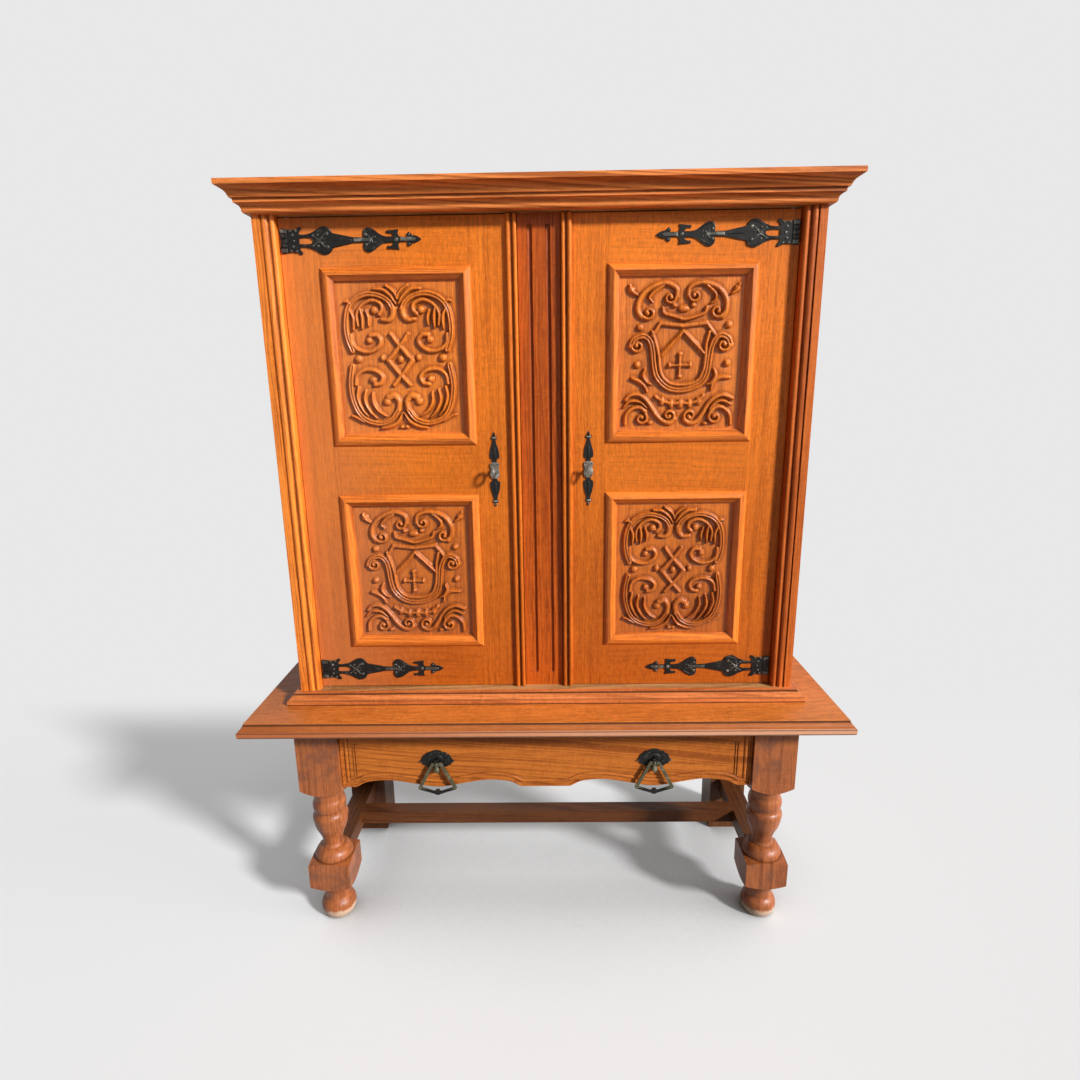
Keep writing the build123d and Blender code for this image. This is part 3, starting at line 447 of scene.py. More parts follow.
finishes = {
    "door_upright": oak("door_oak_upright", run="z", figure=0.2, streaks=0.6, mottle=1.5,
                        dapples=(60.0, 420.0), fleck=0.22, **quartered),
    "door_level": oak("door_oak_level", run="x", figure=0.12, streaks=0.35, mottle=1.3,
                      dapples=(420.0, 70.0), fleck=0.3, **quartered),
    "carving": oak("carving_oak", run="z", figure=0.3, fleck=0.2, crevice_shade=0.45, gloss=0.30,
                   sheen=0.4, carved=True, wear_and_shade=deeper_below, **carve_oak),
    "door_moulding": oak("door_moulding_oak", run="z", mitre=("x", moulding_turned), figure=0.4,
                         fleck=0.15, gloss=0.34, sheen=0.4, **mould_oak),
    "post": oak("post_oak", run="z", figure=0.5, fleck=0.2, gloss=0.34, sheen=0.4, **post_oak),
    "shaded_post": oak("shaded_post_oak", run="z", figure=0.5, fleck=0.2, **shaded_post_oak),
    "cornice": oak("cornice_oak", run="x", **bold_figure),
    "cornice_side": oak("cornice_side_oak", run="y", **bold_figure),
    "table": oak("table_oak", run="x", figure=0.12, ring=0.006, streaks=0.25, mottle=1.9,
                 fleck=0.3, sheen=0.35, wear_and_shade=table_shade_and_wear, **table_oak),
    "plinth": oak("plinth_oak", run="x", mitre=("y", plinth_turned), figure=0.4,
                  wear_and_shade=plinth_wax_and_shade, **plinth_oak),
    "drawer": oak("drawer_oak", run="x", figure=0.6, ring=0.010, lean=0.1, **drawer_oak),
    "leg": oak("leg_oak", run="z", figure=0.4, drift=0.7, mottle=1.6, gloss=0.36, sheen=0.4,
               wear_and_shade=handled, **leg_oak),
    "rear_leg": oak("shaded_rear_leg_oak", run="z", figure=0.4, **shaded_rear_oak),
    "stretcher": oak("stretcher_oak", run="x", figure=0.6, **shaded_low_oak),
    "side_rail": oak("side_rail_oak", run="y", figure=0.6, **shaded_low_oak),
    "side": oak("side_oak", run="z", figure=0.8, ring=0.011, board=0.13, **drawer_oak),
    "mullion": oak("mullion_oak", run="z", figure=0.4, fleck=0.3, mottle=1.8, **red_oak),
    "inside_level": oak("inside_oak_level", run="x", gloss=0.6, **plain_oak),
    "inside_upright": oak("inside_oak_upright", run="z", gloss=0.6, board=0.16, **plain_oak),
    "inside_deep": oak("inside_oak_deep", run="y", gloss=0.6, **plain_oak),
    "iron": iron("black_iron", tone(22, 21, 19), tone(70, 68, 62), rub=0.3, gloss=0.46, metal=0.25),
    "rubbed_edge": iron("rubbed_iron_edge", tone(30, 29, 27), tone(104, 102, 94), rub=0.6, metal=0.4),
    "bail_metal": iron("worn_handle_iron", tone(92, 88, 68), tone(150, 142, 118), rub=0.7),
    "worn_relief": iron("worn_iron_relief", tone(74, 72, 66), tone(156, 152, 142), rub=0.6, metal=0.5),
    "pewter": iron("rubbed_pewter", tone(128, 124, 114), tone(214, 210, 200), rub=0.8, gloss=0.38),
    "steel": iron("lock_steel", tone(140, 138, 132), tone(190, 188, 182), rub=0.5, gloss=0.4),
}


def left_and_right(*names):
    """The left and the right node of each name."""
    return [f"{name}_{side}" for name in names for side in SIDES]


worn_by = {
    "door_upright": left_and_right("stiles", "bead_strip"),
    "door_level": left_and_right("rails"),
    "carving": left_and_right("panel_upper", "panel_lower"),
    "door_moulding": left_and_right("panel_mouldings"),
    "post": ["front_post_left"],
    "shaded_post": ["front_post_right"],
    "cornice": ["cornice_front", "cornice_back_rail"],
    "cornice_side": ["cornice_returns"],
    "table": ["table_top"],
    "plinth": ["plinth_moulding"],
    "drawer": ["drawer_front"],
    "leg": left_and_right("front_leg"),
    "rear_leg": left_and_right("rear_leg"),
    "stretcher": ["long_stretcher", "back_apron"],
    "side_rail": ["side_stretchers", "side_aprons"],
    "side": left_and_right("side_panel"),
    "mullion": ["centre_mullion", "mullion_stop"],
    "inside_level": ["cabinet_floor", "cabinet_top", "dust_board", "shelves", "drawer_back", "drawer_bottom"],
    "inside_upright": ["back_panel"],
    "inside_deep": ["shelf_cleats", "drawer_runners", "drawer_kickers", "drawer_sides"],
    "iron": left_and_right("hinge_straps", "escutcheon", "bail") + ["pull_plates", "pull_studs"],
    "pewter": left_and_right("key"),
    "steel": left_and_right("lock_case", "lock_bolt", "pivot_sockets") + ["pivot_pins"],
}
for finish, wearers in worn_by.items():
    for wearer in wearers:
        mesh = nodes[wearer].data
        mesh.materials.clear()
        mesh.materials.append(finishes[finish])


# --- the carved panels -----------------------------------------------------------------------
# In millimetres: the carving's grid, its height, its hollows' depth, how far left of its panel's
# middle it sits, and the plain margin round it.
CARVE_CELL = 1.0
CARVE_HIGH = 7.5
CARVE_CUT = 2.2
CARVE_SHIFT = 1.0
FIELD_MARGIN = 22.0
# Lines are cut this much wider than they are drawn.
CARVE_BOLD = 1.3
# The hollows beside the carving: how many cells they reach, and how crisp they are.
HOLLOW_REACH = 3
HOLLOW_CRISP = 2.4
# A volute's parts as shares of its radius, and how far round it winds.
VOLUTE_LINE = 0.31
VOLUTE_CORE = 0.30
VOLUTE_EYE = 0.42
VOLUTE_TURNS = 0.95
VOLUTE_STEPS = 70

# Each cut is its kind, its path or middle (x to the right and z up) and its sizes.
SHIELD_MIDDLE = (275.0, 240.5)
SHIELD = [
    ("volute", (253, 345), 12, 0, -1),
    ("band", [(266, 347), (264, 362), (245, 371), (225, 367), (205, 355), (194, 338), (193, 322),
              (200, 311)], 3.6, 4.6),
    ("volute", (213, 318), 13, 215, 1),
    ("leaf", [(240, 366), (224, 357), (214, 346), (220, 337)], 3.4),
    ("volute", (300, 348), 12, 180, 1),
    ("band", [(287, 348), (291, 364), (314, 371), (343, 362), (359, 342), (360, 322), (353, 310)],
     3.6, 4.6),
    ("volute", (343, 320), 13, -35, -1),
    ("leaf", [(322, 366), (338, 352), (338, 340), (330, 334)], 3.4),
    ("leaf", [(176, 368), (183, 356), (192, 350)], 3.4),
    ("leaf", [(383, 368), (377, 357), (368, 350)], 3.4),
    ("band", [(240, 327), (243, 317), (260, 312), (280, 306), (300, 310), (319, 317), (323, 327)],
     3.0, 3.0),
    ("bud", (280, 325), 12, 7),
    ("bud", (262, 331), 6, 5),
    ("bud", (297, 331), 6, 5),
    ("bar", [(236, 299), (280, 294), (324, 299)], 4.6),
    ("bar", [(236, 299), (221, 276)], 3.6),
    ("bar", [(324, 299), (342, 276)], 3.6),
    ("volute", (193, 258), 13, 180, 1),
    ("rim", [(180, 258), (186, 270), (203, 276), (216, 268), (222, 250), (225, 225), (230, 203),
             (242, 187), (258, 177), (278, 174), (300, 178), (318, 188), (328, 205), (331, 225),
             (334, 250), (341, 268), (352, 276), (366, 270), (371, 258)], 4.8),
    ("volute", (358, 258), 13, 0, -1),
    ("band", [(221, 284), (228, 262), (234, 240), (237, 215), (244, 198), (258, 187), (278, 184),
              (300, 187), (313, 195), (321, 212), (324, 235), (325, 260), (330, 282)], 3.0, 3.0),
    ("ridge", [(239, 241), (280, 284)], 6.5),
    ("ridge", [(280, 284), (321, 243)], 6.5),
    ("bar", [(256, 221), (294, 221)], 2.7),
    ("bar", [(275, 201), (275, 241)], 2.7),
    ("bud", (255, 221), 4.2, 5.6),
    ("bud", (295, 221), 4.2, 5.6),
    ("bud", (275, 200), 5.6, 4.2),
    ("bud", (275, 242), 5.6, 4.2),
    ("bud", (275, 221), 5.0, 5.0),
    ("bud", (197, 292), 7, 7),
    ("bud", (193, 223), 7, 7),
    ("bud", (366, 295), 7, 7),
    ("bud", (366, 224), 7, 7),
    ("bud", (180, 360), 7, 7),
    ("bud", (379, 360), 7, 7),
    ("leaf", [(183, 198), (197, 192), (208, 183), (213, 172)], 4.2),
    ("leaf", [(208, 214), (205, 202), (213, 190), (222, 186)], 3.8),
    ("band", [(172, 157), (180, 165), (195, 167), (208, 160), (220, 146), (232, 128), (245, 116),
              (258, 112), (268, 119)], 3.2, 4.4),
    ("volute", (257, 126), 12, -35, 1),
    ("band", [(171, 110), (173, 128), (185, 140), (200, 142), (211, 134)], 2.6, 4.2),
    ("volute", (203, 121), 13, 45, -1),
    ("leaf", [(168, 143), (180, 154), (200, 152), (214, 141)], 3.2),
    ("leaf", [(372, 197), (352, 197), (340, 188), (337, 174)], 4.2),
    ("leaf", [(342, 212), (345, 200), (337, 188), (329, 184)], 3.8),
    ("band", [(380, 158), (362, 164), (345, 159), (333, 147), (322, 128), (311, 114), (299, 111),
              (288, 117)], 3.2, 4.4),
    ("volute", (298, 125), 13, 215, -1),
    ("leaf", [(378, 146), (362, 153), (348, 150), (336, 139)], 3.2),
    ("band", [(378, 108), (376, 126), (364, 139), (350, 142), (339, 134)], 2.6, 4.2),
    ("volute", (347, 122), 14, 135, 1),
    ("band", [(230, 162), (246, 153), (262, 149), (279, 150), (296, 149), (310, 153), (323, 163)],
     2.8, 2.8),
    ("bud", (243, 153), 6, 9),
    ("bud", (261, 148), 6, 9),
    ("bud", (279, 148), 7, 10),
    ("bud", (297, 148), 6, 9),
    ("bud", (314, 153), 6, 9),
    ("bud", (220, 112), 6, 4),
    ("bud", (328, 110), 6, 4),
]

SCROLL_MIDDLE = (-273.5, 240.5)
HALF_SCROLLS = [
    ("rim", [(-365, 257), (-373, 281), (-374, 308), (-368, 335), (-353, 352), (-330, 360), (-307, 357),
             (-290, 347), (-282, 333)], 4.5),
    ("band", [(-282, 333), (-284, 321), (-292, 313), (-305, 314)], 5.6, 3.4),
    ("bud", (-318, 331), 8, 8),
    ("band", [(-351, 303), (-352, 325), (-340, 342), (-322, 349), (-306, 343), (-303, 332), (-309, 324)],
     2.4, 4.0),
    ("leaf", [(-365, 332), (-359, 317), (-360, 296)], 3.6),
    ("leaf", [(-345, 334), (-342, 317), (-343, 298)], 3.4),
    ("leaf", [(-334, 331), (-330, 317), (-331, 303)], 3.2),
    ("leaf", [(-362, 342), (-369, 347), (-376, 346)], 3.0),
    ("band", [(-366, 286), (-364, 269), (-352, 258), (-333, 255), (-316, 263), (-310, 275), (-317, 285),
              (-329, 285)], 3.2, 4.0),
    ("bud", (-332, 276), 7, 7),
    ("leaf", [(-317, 369), (-299, 367), (-285, 356), (-276, 342)], 4.0),
    ("leaf", [(-294, 375), (-283, 367), (-276, 359), (-274, 350)], 3.2),
    ("bud", (-355, 242), 8, 8),
    ("band", [(-289, 286), (-280, 273), (-266, 256), (-250, 238)], 3.4, 4.2),
    ("band", [(-250, 239), (-262, 223), (-273, 210), (-288, 193)], 4.2, 3.4),
    ("bud", (-290, 287), 4.5, 4.5),
    ("bud", (-289, 192), 4.5, 4.5),
    ("bud", (-273.5, 240), 7, 8),
    ("bud", (-308, 243), 6, 7),
    ("band", [(-364, 194), (-360, 211), (-344, 221), (-323, 219), (-311, 208), (-315, 196), (-326, 193)],
     3.2, 4.0),
    ("bud", (-330, 202), 7, 7),
    ("rim", [(-368, 228), (-373, 200), (-373, 176), (-368, 154), (-359, 136), (-343, 123), (-319, 118),
             (-297, 126), (-283, 144)], 4.5),
    ("band", [(-283, 144), (-281, 160), (-290, 171), (-301, 168)], 4.6, 5.4),
    ("bud", (-305, 160), 8, 8),
    ("leaf", [(-359, 188), (-362, 168), (-354, 146), (-344, 133)], 3.6),
    ("leaf", [(-345, 182), (-348, 162), (-339, 142), (-327, 129)], 3.6),
    ("leaf", [(-332, 177), (-332, 160), (-323, 143), (-308, 132)], 3.4),
    ("leaf", [(-376, 134), (-366, 130), (-352, 121)], 3.0),
    ("leaf", [(-318, 109), (-302, 112), (-286, 121), (-275, 138)], 4.0),
    ("bud", (-278, 111), 6, 4),
]


def mirrored(cuts, middle):
    """The cuts and the same cuts turned over the panel's upright centre line."""
    both = list(cuts)
    for kind, path, *sizes in cuts:
        if kind == "bud":
            path = (2 * middle - path[0], path[1])
        else:
            path = [(2 * middle - x, z) for x, z in path]
        both.append((kind, path, *sizes))
    return both


SCROLLS = mirrored(HALF_SCROLLS, SCROLL_MIDDLE[0])


def fair_line(path, spacing=1.0):
    """Closely spaced places on a smooth line through the path's points."""
    points = np.array(path, float)
    if len(points) == 2:
        count = max(2, int(np.linalg.norm(points[1] - points[0]) / spacing))
        return points[0] + (points[1] - points[0]) * np.linspace(0, 1, count)[:, None]
    points = np.vstack([2 * points[0] - points[1], points, 2 * points[-1] - points[-2]])
    runs = []
    for a, b, c, d in zip(points[:-3], points[1:-2], points[2:-1], points[3:]):
        count = max(2, int(np.linalg.norm(c - b) / spacing))
        t = np.linspace(0, 1, count, endpoint=False)[:, None]
        bend = 2 * a - 5 * b + 4 * c - d
        twist = 3 * b - a - 3 * c + d
        runs.append(0.5 * (2 * b + (c - a) * t + bend * t**2 + twist * t**3))
    return np.vstack([*runs, points[-2][None]])


def straight_line(path):
    """Closely spaced places on a line with corners at the path's points."""
    return np.vstack([fair_line(pair) for pair in zip(path[:-1], path[1:])])


def nearest(u, v, line, half_widths):
    """How far each place of the panel is from a line, as a share of the line's half width there.

    A place on the line has 0, and one at its edge or beyond has 1."""
    share = np.ones(u.shape)
    for (x, z), half in zip(line, np.broadcast_to(half_widths, len(line))):
        near = (np.abs(u[0] - x) < half).nonzero()[0]
        level = (np.abs(v[:, 0] - z) < half).nonzero()[0]
        if len(near) and len(level):
            window = np.s_[level[0]:level[-1] + 1, near[0]:near[-1] + 1]
            reach = np.hypot(u[window] - x, v[window] - z) / half
            share[window] = np.minimum(share[window], reach)
    return share


def rounded(share):
    """A round back: full height on a line, nothing at its edge."""
    return np.sqrt(1 - share**2)


def cut_volute(u, v, centre, radius, start, hand):
    """A scroll that winds in to a round eye."""
    turn = np.linspace(0, 1, VOLUTE_STEPS)
    half = VOLUTE_LINE * radius
    reach = (radius - half * 0.3) * (1 - turn) + VOLUTE_CORE * radius * turn
    angle = math.radians(start) + hand * turn * 2 * math.pi * VOLUTE_TURNS
    line = np.array(centre) + np.column_stack([reach * np.cos(angle), reach * np.sin(angle)])
    arm = rounded(nearest(u, v, line, half * (1 - 0.2 * turn))) * 0.92
    eye = line[-1] * 0.6 + np.array(centre) * 0.4
    return np.maximum(arm, rounded(nearest(u, v, [eye], VOLUTE_EYE * radius)))


def cut_bud(u, v, centre, wide, tall):
    reach = np.hypot((u - centre[0]) / wide, (v - centre[1]) / tall)
    return rounded(np.clip(reach, 0, 1)) * 0.9


def cut_band(u, v, path, first, last):
    """A round band from its first half width to its last."""
    line = fair_line(path)
    t = np.linspace(0, 1, len(line))
    return rounded(nearest(u, v, line, CARVE_BOLD * (first * (1 - t) + last * t))) * 0.85


def cut_rim(u, v, path, half):
    """A round band with a vein down its middle."""
    share = nearest(u, v, fair_line(path), CARVE_BOLD * half)
    vein = 0.45 * np.exp(-((share / 0.25) ** 2)) * (share < 1)
    return rounded(share) - vein


def cut_leaf(u, v, path, half):
    """A leaf that swells past its stem and comes to a point."""
    line = fair_line(path)
    t = np.linspace(0, 1, len(line))
    swell = 0.35 + 0.8 * np.sin(math.pi * (0.15 + 0.8 * t))
    return (1 - nearest(u, v, line, CARVE_BOLD * half * swell) ** 1.6) * 0.95


def cut_ridge(u, v, path, half):
    return 1 - nearest(u, v, straight_line(path), half)


def cut_bar(u, v, path, half):
    return np.sqrt(1 - nearest(u, v, straight_line(path), half) ** 4) * 0.75


CUTTERS = {"volute": cut_volute, "bud": cut_bud, "band": cut_band, "rim": cut_rim,
           "leaf": cut_leaf, "ridge": cut_ridge, "bar": cut_bar}


def softened(field, reach):
    """The field averaged over a square of that many cells each way, twice."""
    for axis in (0, 1, 0, 1):
        margins = [(reach + 1, reach) if a == axis else (0, 0) for a in (0, 1)]
        total = np.cumsum(np.pad(field, margins, mode="edge"), axis)
        upper = np.take(total, range(2 * reach + 1, total.shape[axis]), axis)
        lower = np.take(total, range(0, total.shape[axis] - 2 * reach - 1), axis)
        field = (upper - lower) / (2 * reach + 1)
    return field


def carved_heights(u, v, cuts):
    """How high the carving stands at each place of a panel, and how deep its hollows are."""
    raised = np.zeros(u.shape)
    for kind, *sizes in cuts:
        raised = np.maximum(raised, CUTTERS[kind](u, v, *sizes))
    hollow = (softened(raised, HOLLOW_REACH) - raised) * HOLLOW_CRISP
    hollow = softened(np.clip(hollow, 0, 1), 1)
    return raised * CARVE_HIGH - hollow * CARVE_CUT, np.clip(hollow, 0, 1)


def place_piece(name, shape, coats, body, node):
    """Finishes a shape as one piece, which rides a body in place of the node's solid."""
    mesh = bpy.data.meshes.new(name)
    shape.to_mesh(mesh)
    shape.free()
    for coat in coats:
        mesh.materials.append(finishes[coat])
    piece = bpy.data.objects.new(name, mesh)
    scene.collection.objects.link(piece)
    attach(piece, body)
    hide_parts(node)
    return piece


def widen_to_tongues(board, centre, widening, front, back):
    """Carries the carved field's rim out to the board's edge, then back, and closes the board."""
    rim = [edge for edge in board.edges if edge.is_boundary]
    for (wider, taller), y in ((widening, front), ((1.0, 1.0), back)):
        grown = bmesh.ops.extrude_edge_only(board, edges=rim)["geom"]
        rim = [item for item in grown if isinstance(item, bmesh.types.BMEdge)]
        for vert in {v for edge in rim for v in edge.verts}:
            x = centre[0] + (vert.co.x - centre[0]) * wider
            z = centre[1] + (vert.co.z - centre[1]) * taller
            vert.co = (x, y, z)
    bmesh.ops.contextual_create(board, geom=rim)
    bmesh.ops.recalc_face_normals(board, faces=board.faces)
    for face in board.faces:
        face.smooth = len(face.verts) == 4 and abs(face.normal.y) > 0.02


def carved_panel(side, level, cuts, middle, shrink):
    """One door panel: a thin board with its tongues, and the carving raised on its face.

    The cuts are drawn round a middle, and made smaller by shrink."""
    node = f"panel_{level}_{side}"
    low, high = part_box(node)
    centre = ((low.x + high.x) / 2, (low.z + high.z) / 2)
    half = ((high.x - low.x) / 2, (high.z - low.z) / 2)
    field = (half[0] - FIELD_MARGIN * MM, half[1] - FIELD_MARGIN * MM)
    across, along = (int(round(2 * reach / (CARVE_CELL * MM))) for reach in field)
    u = np.linspace(-1, 1, across + 1) * field[0] / MM / shrink
    v = np.linspace(-1, 1, along + 1) * field[1] / MM / shrink
    u, v = np.meshgrid(u + middle[0] + CARVE_SHIFT, v + middle[1])
    rise, hollow = carved_heights(u, v, cuts)
    board = bmesh.new()
    bmesh.ops.create_grid(board, x_segments=across, y_segments=along, size=1.0)
    places = np.array([vert.co for vert in board.verts])
    column = np.rint((places[:, 0] + 1) / 2 * across).astype(int)
    row = np.rint((places[:, 1] + 1) / 2 * along).astype(int)
    for vert, lift in zip(board.verts, rise[row, column]):
        vert.co = (centre[0] + vert.co.x * field[0], low.y - lift * MM, centre[1] + vert.co.y * field[1])
    widen_to_tongues(board, centre, (half[0] / field[0], half[1] / field[1]), low.y, high.y)
    panel = place_piece(f"carved_{node}", board, ["carving"], f"door_{side}", node)
    # The hollows' depth goes with the panel, to paint shade and stain into them.
    marks = np.zeros(len(panel.data.vertices), np.float32)
    marks[:len(places)] = hollow[row, column]
    panel.data.attributes.new("hollow", "FLOAT", "POINT").data.foreach_set("value", marks)


carved_panel("right", "upper", SHIELD, SHIELD_MIDDLE, 1.0)
carved_panel("left", "lower", SHIELD, SHIELD_MIDDLE, 0.98)
carved_panel("left", "upper", SCROLLS, SCROLL_MIDDLE, 1.0)
carved_panel("right", "lower", SCROLLS, SCROLL_MIDDLE, 0.98)


# --- ironwork --------------------------------------------------------------------------------
# Outlines in millimetres. A strap is drawn from its hinge end along, upper half only. Plates and
# handles are drawn upright, right half only, at their own height on the cabinet.
STRAP_EDGE = [
    [(0, 0), (0, 20.5), (13, 20.5)], [(15, 19.4), (22, 19.2), (31, 19.8)],
    [(34.5, 23.4), (39, 23.6), (40, 20.0), (36.5, 16.0), (35.0, 11.4)],
    [(45, 11.0), (54, 12.6), (64, 16.6), (72, 21.4), (80, 24.4), (88, 23.2), (94.5, 18.4), (96.5, 13.6)],
    [(99.5, 12.2)], [(136, 4.8)], [(155, 4.2)], [(154.2, 11.0)],
    [(155.5, 16.4), (160, 20.4), (166, 21.4), (174, 18.0), (183, 11.6), (191, 6.8), (199, 5.2)],
    [(210.5, 4.8)], [(209.0, 9.6)], [(204, 11.2), (199, 10.8)], [(198.5, 15.6)],
    [(208, 16.2), (221, 17.4)], [(219.5, 10.0), (221.5, 5.0)], [(226, 4.2), (237, 4.2)],
    [(236, 9.0), (239.5, 12.8)], [(243.5, 10.0), (246, 6.6)], [(252, 6.0), (258, 3.4), (263, 0)],
]
STRAP_EYE = [
    [(34.5, 0), (34.5, 5.8)], [(46, 6.4), (56, 5.6), (61.0, 2.8), (62, 0)],
]
STRAP_CURLS = [
    [(94.5, 14.5), (92, 19.5), (85, 21.0), (77, 19.0), (69, 15.0)],
    [(157.0, 12.0), (159, 16.5), (165, 18.0), (173, 14.5), (182, 8.5)],
    [(40, 8.8), (50, 9.2), (60, 12.5)],
    [(100, 0), (118, 0), (134, 0)],
]
# Rubbed lines (path, half width), knobs (along, across, half width) and bars (from, to, half width).
STRAP_LINES = [
    ([(60, 8.5), (67, 5.0), (74, -1.0), (80, -8.0), (84, -12.0)], 1.5),
    ([(163, 8.0), (169, 1.0), (173, -6.0)], 1.5),
    ([(66, 0), (74, 3.0), (84, 3.0)], 1.2),
]
STRAP_KNOBS = [(87.5, 11.5, 3.6), (61, 8.8, 2.6), (70, 9.6, 2.6), (77, 4.5, 2.4), (159.5, 8.8, 3.4),
               (177, 4.5, 1.8), (216, 0, 4.4), (240.0, 8.6, 2.4), (23, 10.0, 3.0), (29.5, 18.0, 2.6),
               (18.5, 17.6, 2.6), (25, 0, 2.4), (250, 0, 2.6)]
STRAP_BARS = [(137, 169, 3.0), (223, 249, 3.4)]

ESCUTCHEON_EDGE = [
    [(0, 1098.5), (2.0, 1095.5), (2.6, 1092.5), (2.0, 1090.5)], [(5.6, 1089.6)],
    [(6.0, 1087.0), (5.0, 1084.8)], [(2.8, 1083.8)],
    [(4.2, 1076.0), (6.6, 1068.0), (8.8, 1060.0), (9.6, 1052.5), (9.0, 1047.2)],
    [(5.4, 1044.8), (4.2, 1041.5), (4.4, 1038.5)], [(6.5, 1037.6)], [(6.9, 1022.5), (6.5, 1007.4)],
    [(4.4, 1006.6)], [(4.2, 1004.0), (5.4, 1001.2)], [(9.0, 999.6)],
    [(9.8, 994.0), (9.0, 986.0), (7.0, 977.5), (4.4, 969.0), (3.2, 963.4)], [(5.4, 962.4)],
    [(5.8, 959.6), (5.2, 957.4)], [(2.4, 956.4), (2.0, 952.0), (0, 948.5)],
]
COLLAR_EDGE = [
    [(0, 1039.0), (5.4, 1038.4), (8.6, 1035.4), (8.9, 1030.4), (7.0, 1026.0)],
    [(8.6, 1021.0), (9.0, 1014.6), (7.6, 1009.4), (4.4, 1006.8), (0, 1006.0)],
]
KEYHOLE = [[(0, 1027.4), (3.0, 1026.2), (4.2, 1023.2), (3.2, 1020.0), (2.0, 1018.8), (2.0, 1012.0),
            (0, 1011.6)]]
PLATE_EDGE = [
    [(0, 433.6), (5, 433.2), (10, 431.4), (11.6, 428.6)], [(16, 429.4), (21, 427.2), (22.6, 423.6)],
    [(27, 422.6), (30.4, 418.8), (30.2, 415.4)], [(33.0, 412.6), (33.4, 409.4), (32.6, 407.8)],
    [(35.0, 409.2), (37.4, 406.6), (35.4, 404.2), (32.0, 405.0)],
    [(31.0, 400.8), (27.4, 397.8), (24.2, 398.2)], [(21.6, 394.6), (16.8, 393.2), (13.2, 395.2)],
    [(9.4, 392.2), (4.0, 391.8), (0, 393.6)],
]
BAIL_EDGE = [
    [(0, 409.0), (9.5, 408.6)], [(13.0, 404.5), (39.6, 353.0), (41.0, 348.8)],
    [(40.4, 345.4), (37.0, 344.2)], [(7.0, 334.2), (3.2, 331.8), (0, 331.6)],
]
BAIL_EYE = [
    [(0, 400.6), (7.6, 400.6)], [(33.6, 349.6)], [(7.0, 340.2), (5.0, 342.8)],
    [(2.6, 344.6), (0, 344.8)],
]
PEAR_SIDE = [(1.2, -5.2), (3.6, -6.0), (4.1, -9.0), (4.3, -14.0), (6.3, -19.5), (7.0, -23.5), (5.2, -27.0),
             (0.4, -28.4)]
BAIL_THICK = 4.6
# Further down than this from its pivot, a bail is black.
BAIL_FOOT = -67.0
PLATE_RIBS = 16

# A piece's coats: the sheet itself, its eased edges and its relief.
SHEET, EDGE, RELIEF = range(3)
# Domes on a key plate: (across, level, half width, half height, rise, where it starts, coat).
ESCUTCHEON_DOMES = [
    (0, 1093.5, 1.7, 3.2, 1.5, 1.9, SHEET), (0, 1057, 3.2, 13.0, 1.5, 1.9, SHEET),
    (0, 986, 3.2, 14.0, 1.5, 1.9, SHEET), (0, 953.5, 1.5, 3.0, 1.5, 1.9, RELIEF),
    (0, 1087.2, 5.4, 2.2, 1.5, 1.9, RELIEF), (0, 959.9, 5.4, 2.2, 1.5, 1.9, RELIEF),
    (5.6, 1034.5, 1.5, 1.5, 1.2, 3.2, EDGE), (5.6, 1010.2, 1.5, 1.5, 1.2, 3.2, EDGE),
]
# Points closer than this are one, in metres.
MERGE = 1e-6


def drawn_edge(runs):
    """One open line from several runs, smooth inside a run and cornered where two meet.

    Each run goes on from the end of the one before."""
    line, end = [], []
    for run in runs:
        line.append(fair_line(end + run, 1.4)[:-1])
        end = run[-1:]
    return np.vstack([*line, end])


def strap_outline(runs):
    """A whole outline from its upper half."""
    half = drawn_edge(runs)
    return closed_outline(half, half * np.array([1, -1]))


def plate_outline(runs, level):
    """A whole outline from its right half, measured from a level in metres."""
    half = drawn_edge(runs) - np.array([0, level / MM])
    return closed_outline(half, half * np.array([-1, 1]))


def closed_outline(half, other):
    """Two halves as one outline. Both start and end on the centre line, and share those points."""
    return np.vstack([half, other[::-1][1:-1]])


def as_shape(curve):
    """A curve made into a shape with its doubles merged. The curve is dropped."""
    pattern = bpy.data.objects.new("pattern", curve)
    mesh = bpy.data.meshes.new_from_object(pattern)
    shape = bmesh.new()
    shape.from_mesh(mesh)
    bpy.data.objects.remove(pattern)
    bpy.data.curves.remove(curve)
    bpy.data.meshes.remove(mesh)
    bmesh.ops.remove_doubles(shape, verts=shape.verts, dist=MERGE)
    return shape


def add_line(curve, places):
    """Adds one line of points, given in metres, to a curve."""
    spline = curve.splines.new("POLY")
    spline.points.add(len(places) - 1)
    flat = np.column_stack([places, np.zeros(len(places)), np.ones(len(places))])
    spline.points.foreach_set("co", flat.ravel())
    return spline


def cut_sheet(outline, holes, thick, ease):
    """A sheet-iron shape in its own plane, in metres, with eased edges. Its back lies at zero."""
    curve = bpy.data.curves.new("cutting", "CURVE")
    curve.dimensions = "2D"
    curve.fill_mode = "BOTH"
    curve.extrude = thick * MM / 2 - ease * MM
    curve.bevel_depth = ease * MM
    curve.bevel_resolution = 1
    curve.offset = -ease * MM
    for loop in [outline, *holes]:
        add_line(curve, loop * MM).use_cyclic_u = True
    sheet = as_shape(curve)
    bmesh.ops.translate(sheet, verts=sheet.verts, vec=(0, 0, thick * MM / 2))
    for face in sheet.faces:
        face.material_index = 0 if abs(face.normal.z) > 0.95 else 1
        face.smooth = False
    return sheet


def bent_wire(path, thick, tip):
    """A round line of metal along a drawn path, centred on zero. Tip is how much of it its ends keep."""
    curve = bpy.data.curves.new("wire", "CURVE")
    curve.dimensions = "3D"
    curve.bevel_depth = thick * MM
    curve.bevel_resolution = 2
    curve.use_fill_caps = True
    line = fair_line(path, 1.2) * MM
    swell = tip + (1 - tip) * np.sin(np.linspace(0, math.pi, len(line)))
    add_line(curve, line).points.foreach_set("radius", swell)
    return as_shape(curve)


